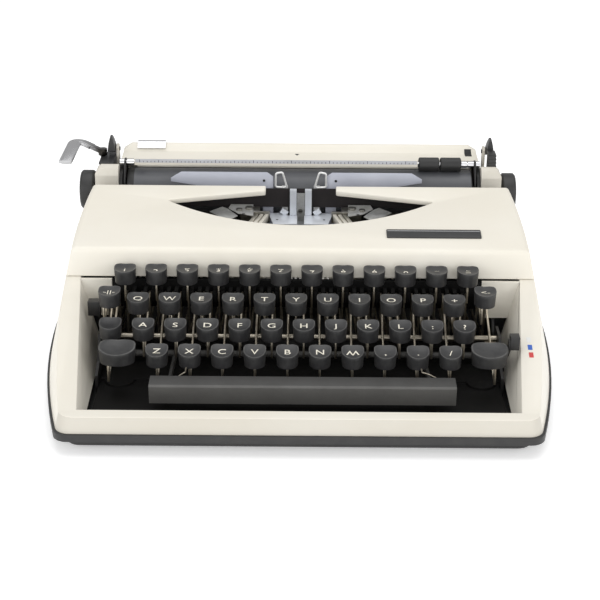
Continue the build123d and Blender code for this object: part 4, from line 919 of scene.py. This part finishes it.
# Front-facing faces below the split take the painted reflection
for face in side_guide.faces:
    below = face.calc_center_median().z < guide_split
    face.material_index = 1 if below and face.normal.y < -0.5 else 0
place_piece(side_guide, "side_guide", "paper_guide", [chrome, guide_painted_reflection], ["paper_guide"])
lever_bar = solid_of("return_lever")
soften(lever_bar, lever_bar_edge, 2, 40.0)
lever_painted_reflection = painted_surface(
    "lever_painted_reflection", (0.46, 0.46, 0.47), (0.34, 0.34, 0.34), 0.24, metallic=1.0, spread=0.012
)
lever_nodes = lever_painted_reflection.node_tree.nodes
lever_links = lever_painted_reflection.node_tree.links
lever_place = node_at(lever_painted_reflection, "ShaderNodeTexCoord")
lever_split = node_at(lever_painted_reflection, "ShaderNodeSeparateXYZ")
# Base colour goes from bright to dark along X: a painted dark reflection on the chrome
reflection_fade = node_at(lever_painted_reflection, "ShaderNodeMapRange")
reflection_fade.inputs["From Min"].default_value = -0.1500
reflection_fade.inputs["From Max"].default_value = -0.1370
reflection_mix = node_at(lever_painted_reflection, "ShaderNodeMix")
reflection_mix.data_type = "RGBA"
reflection_mix.inputs["A"].default_value = (0.50, 0.50, 0.51, 1.0)
reflection_mix.inputs["B"].default_value = (0.035, 0.032, 0.028, 1.0)
lever_links.new(lever_place.outputs["Object"], lever_split.inputs["Vector"])
lever_links.new(lever_split.outputs["X"], reflection_fade.inputs["Value"])
lever_links.new(reflection_fade.outputs["Result"], reflection_mix.inputs["Factor"])
lever_links.new(reflection_mix.outputs["Result"], lever_nodes["Principled BSDF"].inputs["Base Color"])
place_piece(lever_bar, "return_bar", "return_lever", [lever_painted_reflection], ["return_lever"])
ruled_silver = painted_surface("ruled_silver", (0.60, 0.61, 0.64), (0.52, 0.53, 0.56), 0.34, metallic=0.35)
ruled_ink = painted_surface("ruled_ink", (0.10, 0.10, 0.12), (0.14, 0.14, 0.16), 0.5)
bail = solid_of("paper_bail")
soften(bail, bail_edge, 2, 40.0)
for face in bail.faces:
    middle = face.calc_center_median()
    on_front = bail_front < middle.y < bail_strip_back and bail_strip_low < middle.z < bail_strip_high
    if on_front and middle.x < bail_strip_right:
        face.material_index = 1
    elif abs(middle.x) > bail_black_from:
        face.material_index = 2
for left, right in bail_ends:
    add_round(bail, ((left + right) / 2, *bail_axis), bail_end_radius, right - left, "X")
bail_finishes = [chrome, shell_plastic, frame_black]
place_piece(bail, "bail_bar", "paper_bail", bail_finishes, ["paper_bail"])
scale_face, scale_ticks = bmesh.new(), bmesh.new()
add_block(scale_face, (scale_left, 0.06508, scale_low), (scale_right, 0.06522, scale_high))
for tick in range(tick_count):
    x = tick_first + tick_step * tick
    tall = tick_long if tick % 10 == 0 else (tick_middle if tick % 5 == 0 else tick_short)
    tick_high = (x + tick_half, 0.06509, tick_foot + tall)
    add_block(scale_ticks, (x - tick_half, 0.06504, tick_foot), tick_high)
place_piece(scale_face, "bail_scale", "paper_bail", [ruled_silver])
place_piece(scale_ticks, "bail_scale_marks", "paper_bail", [ruled_ink])
ears = solid_of("carriage_release")
soften(ears, ear_edge, 3)
place_piece(ears, "release_ears", "carriage_release", [knob_black], ["carriage_release"])

bpy.context.scene.view_settings.view_transform = "Standard"
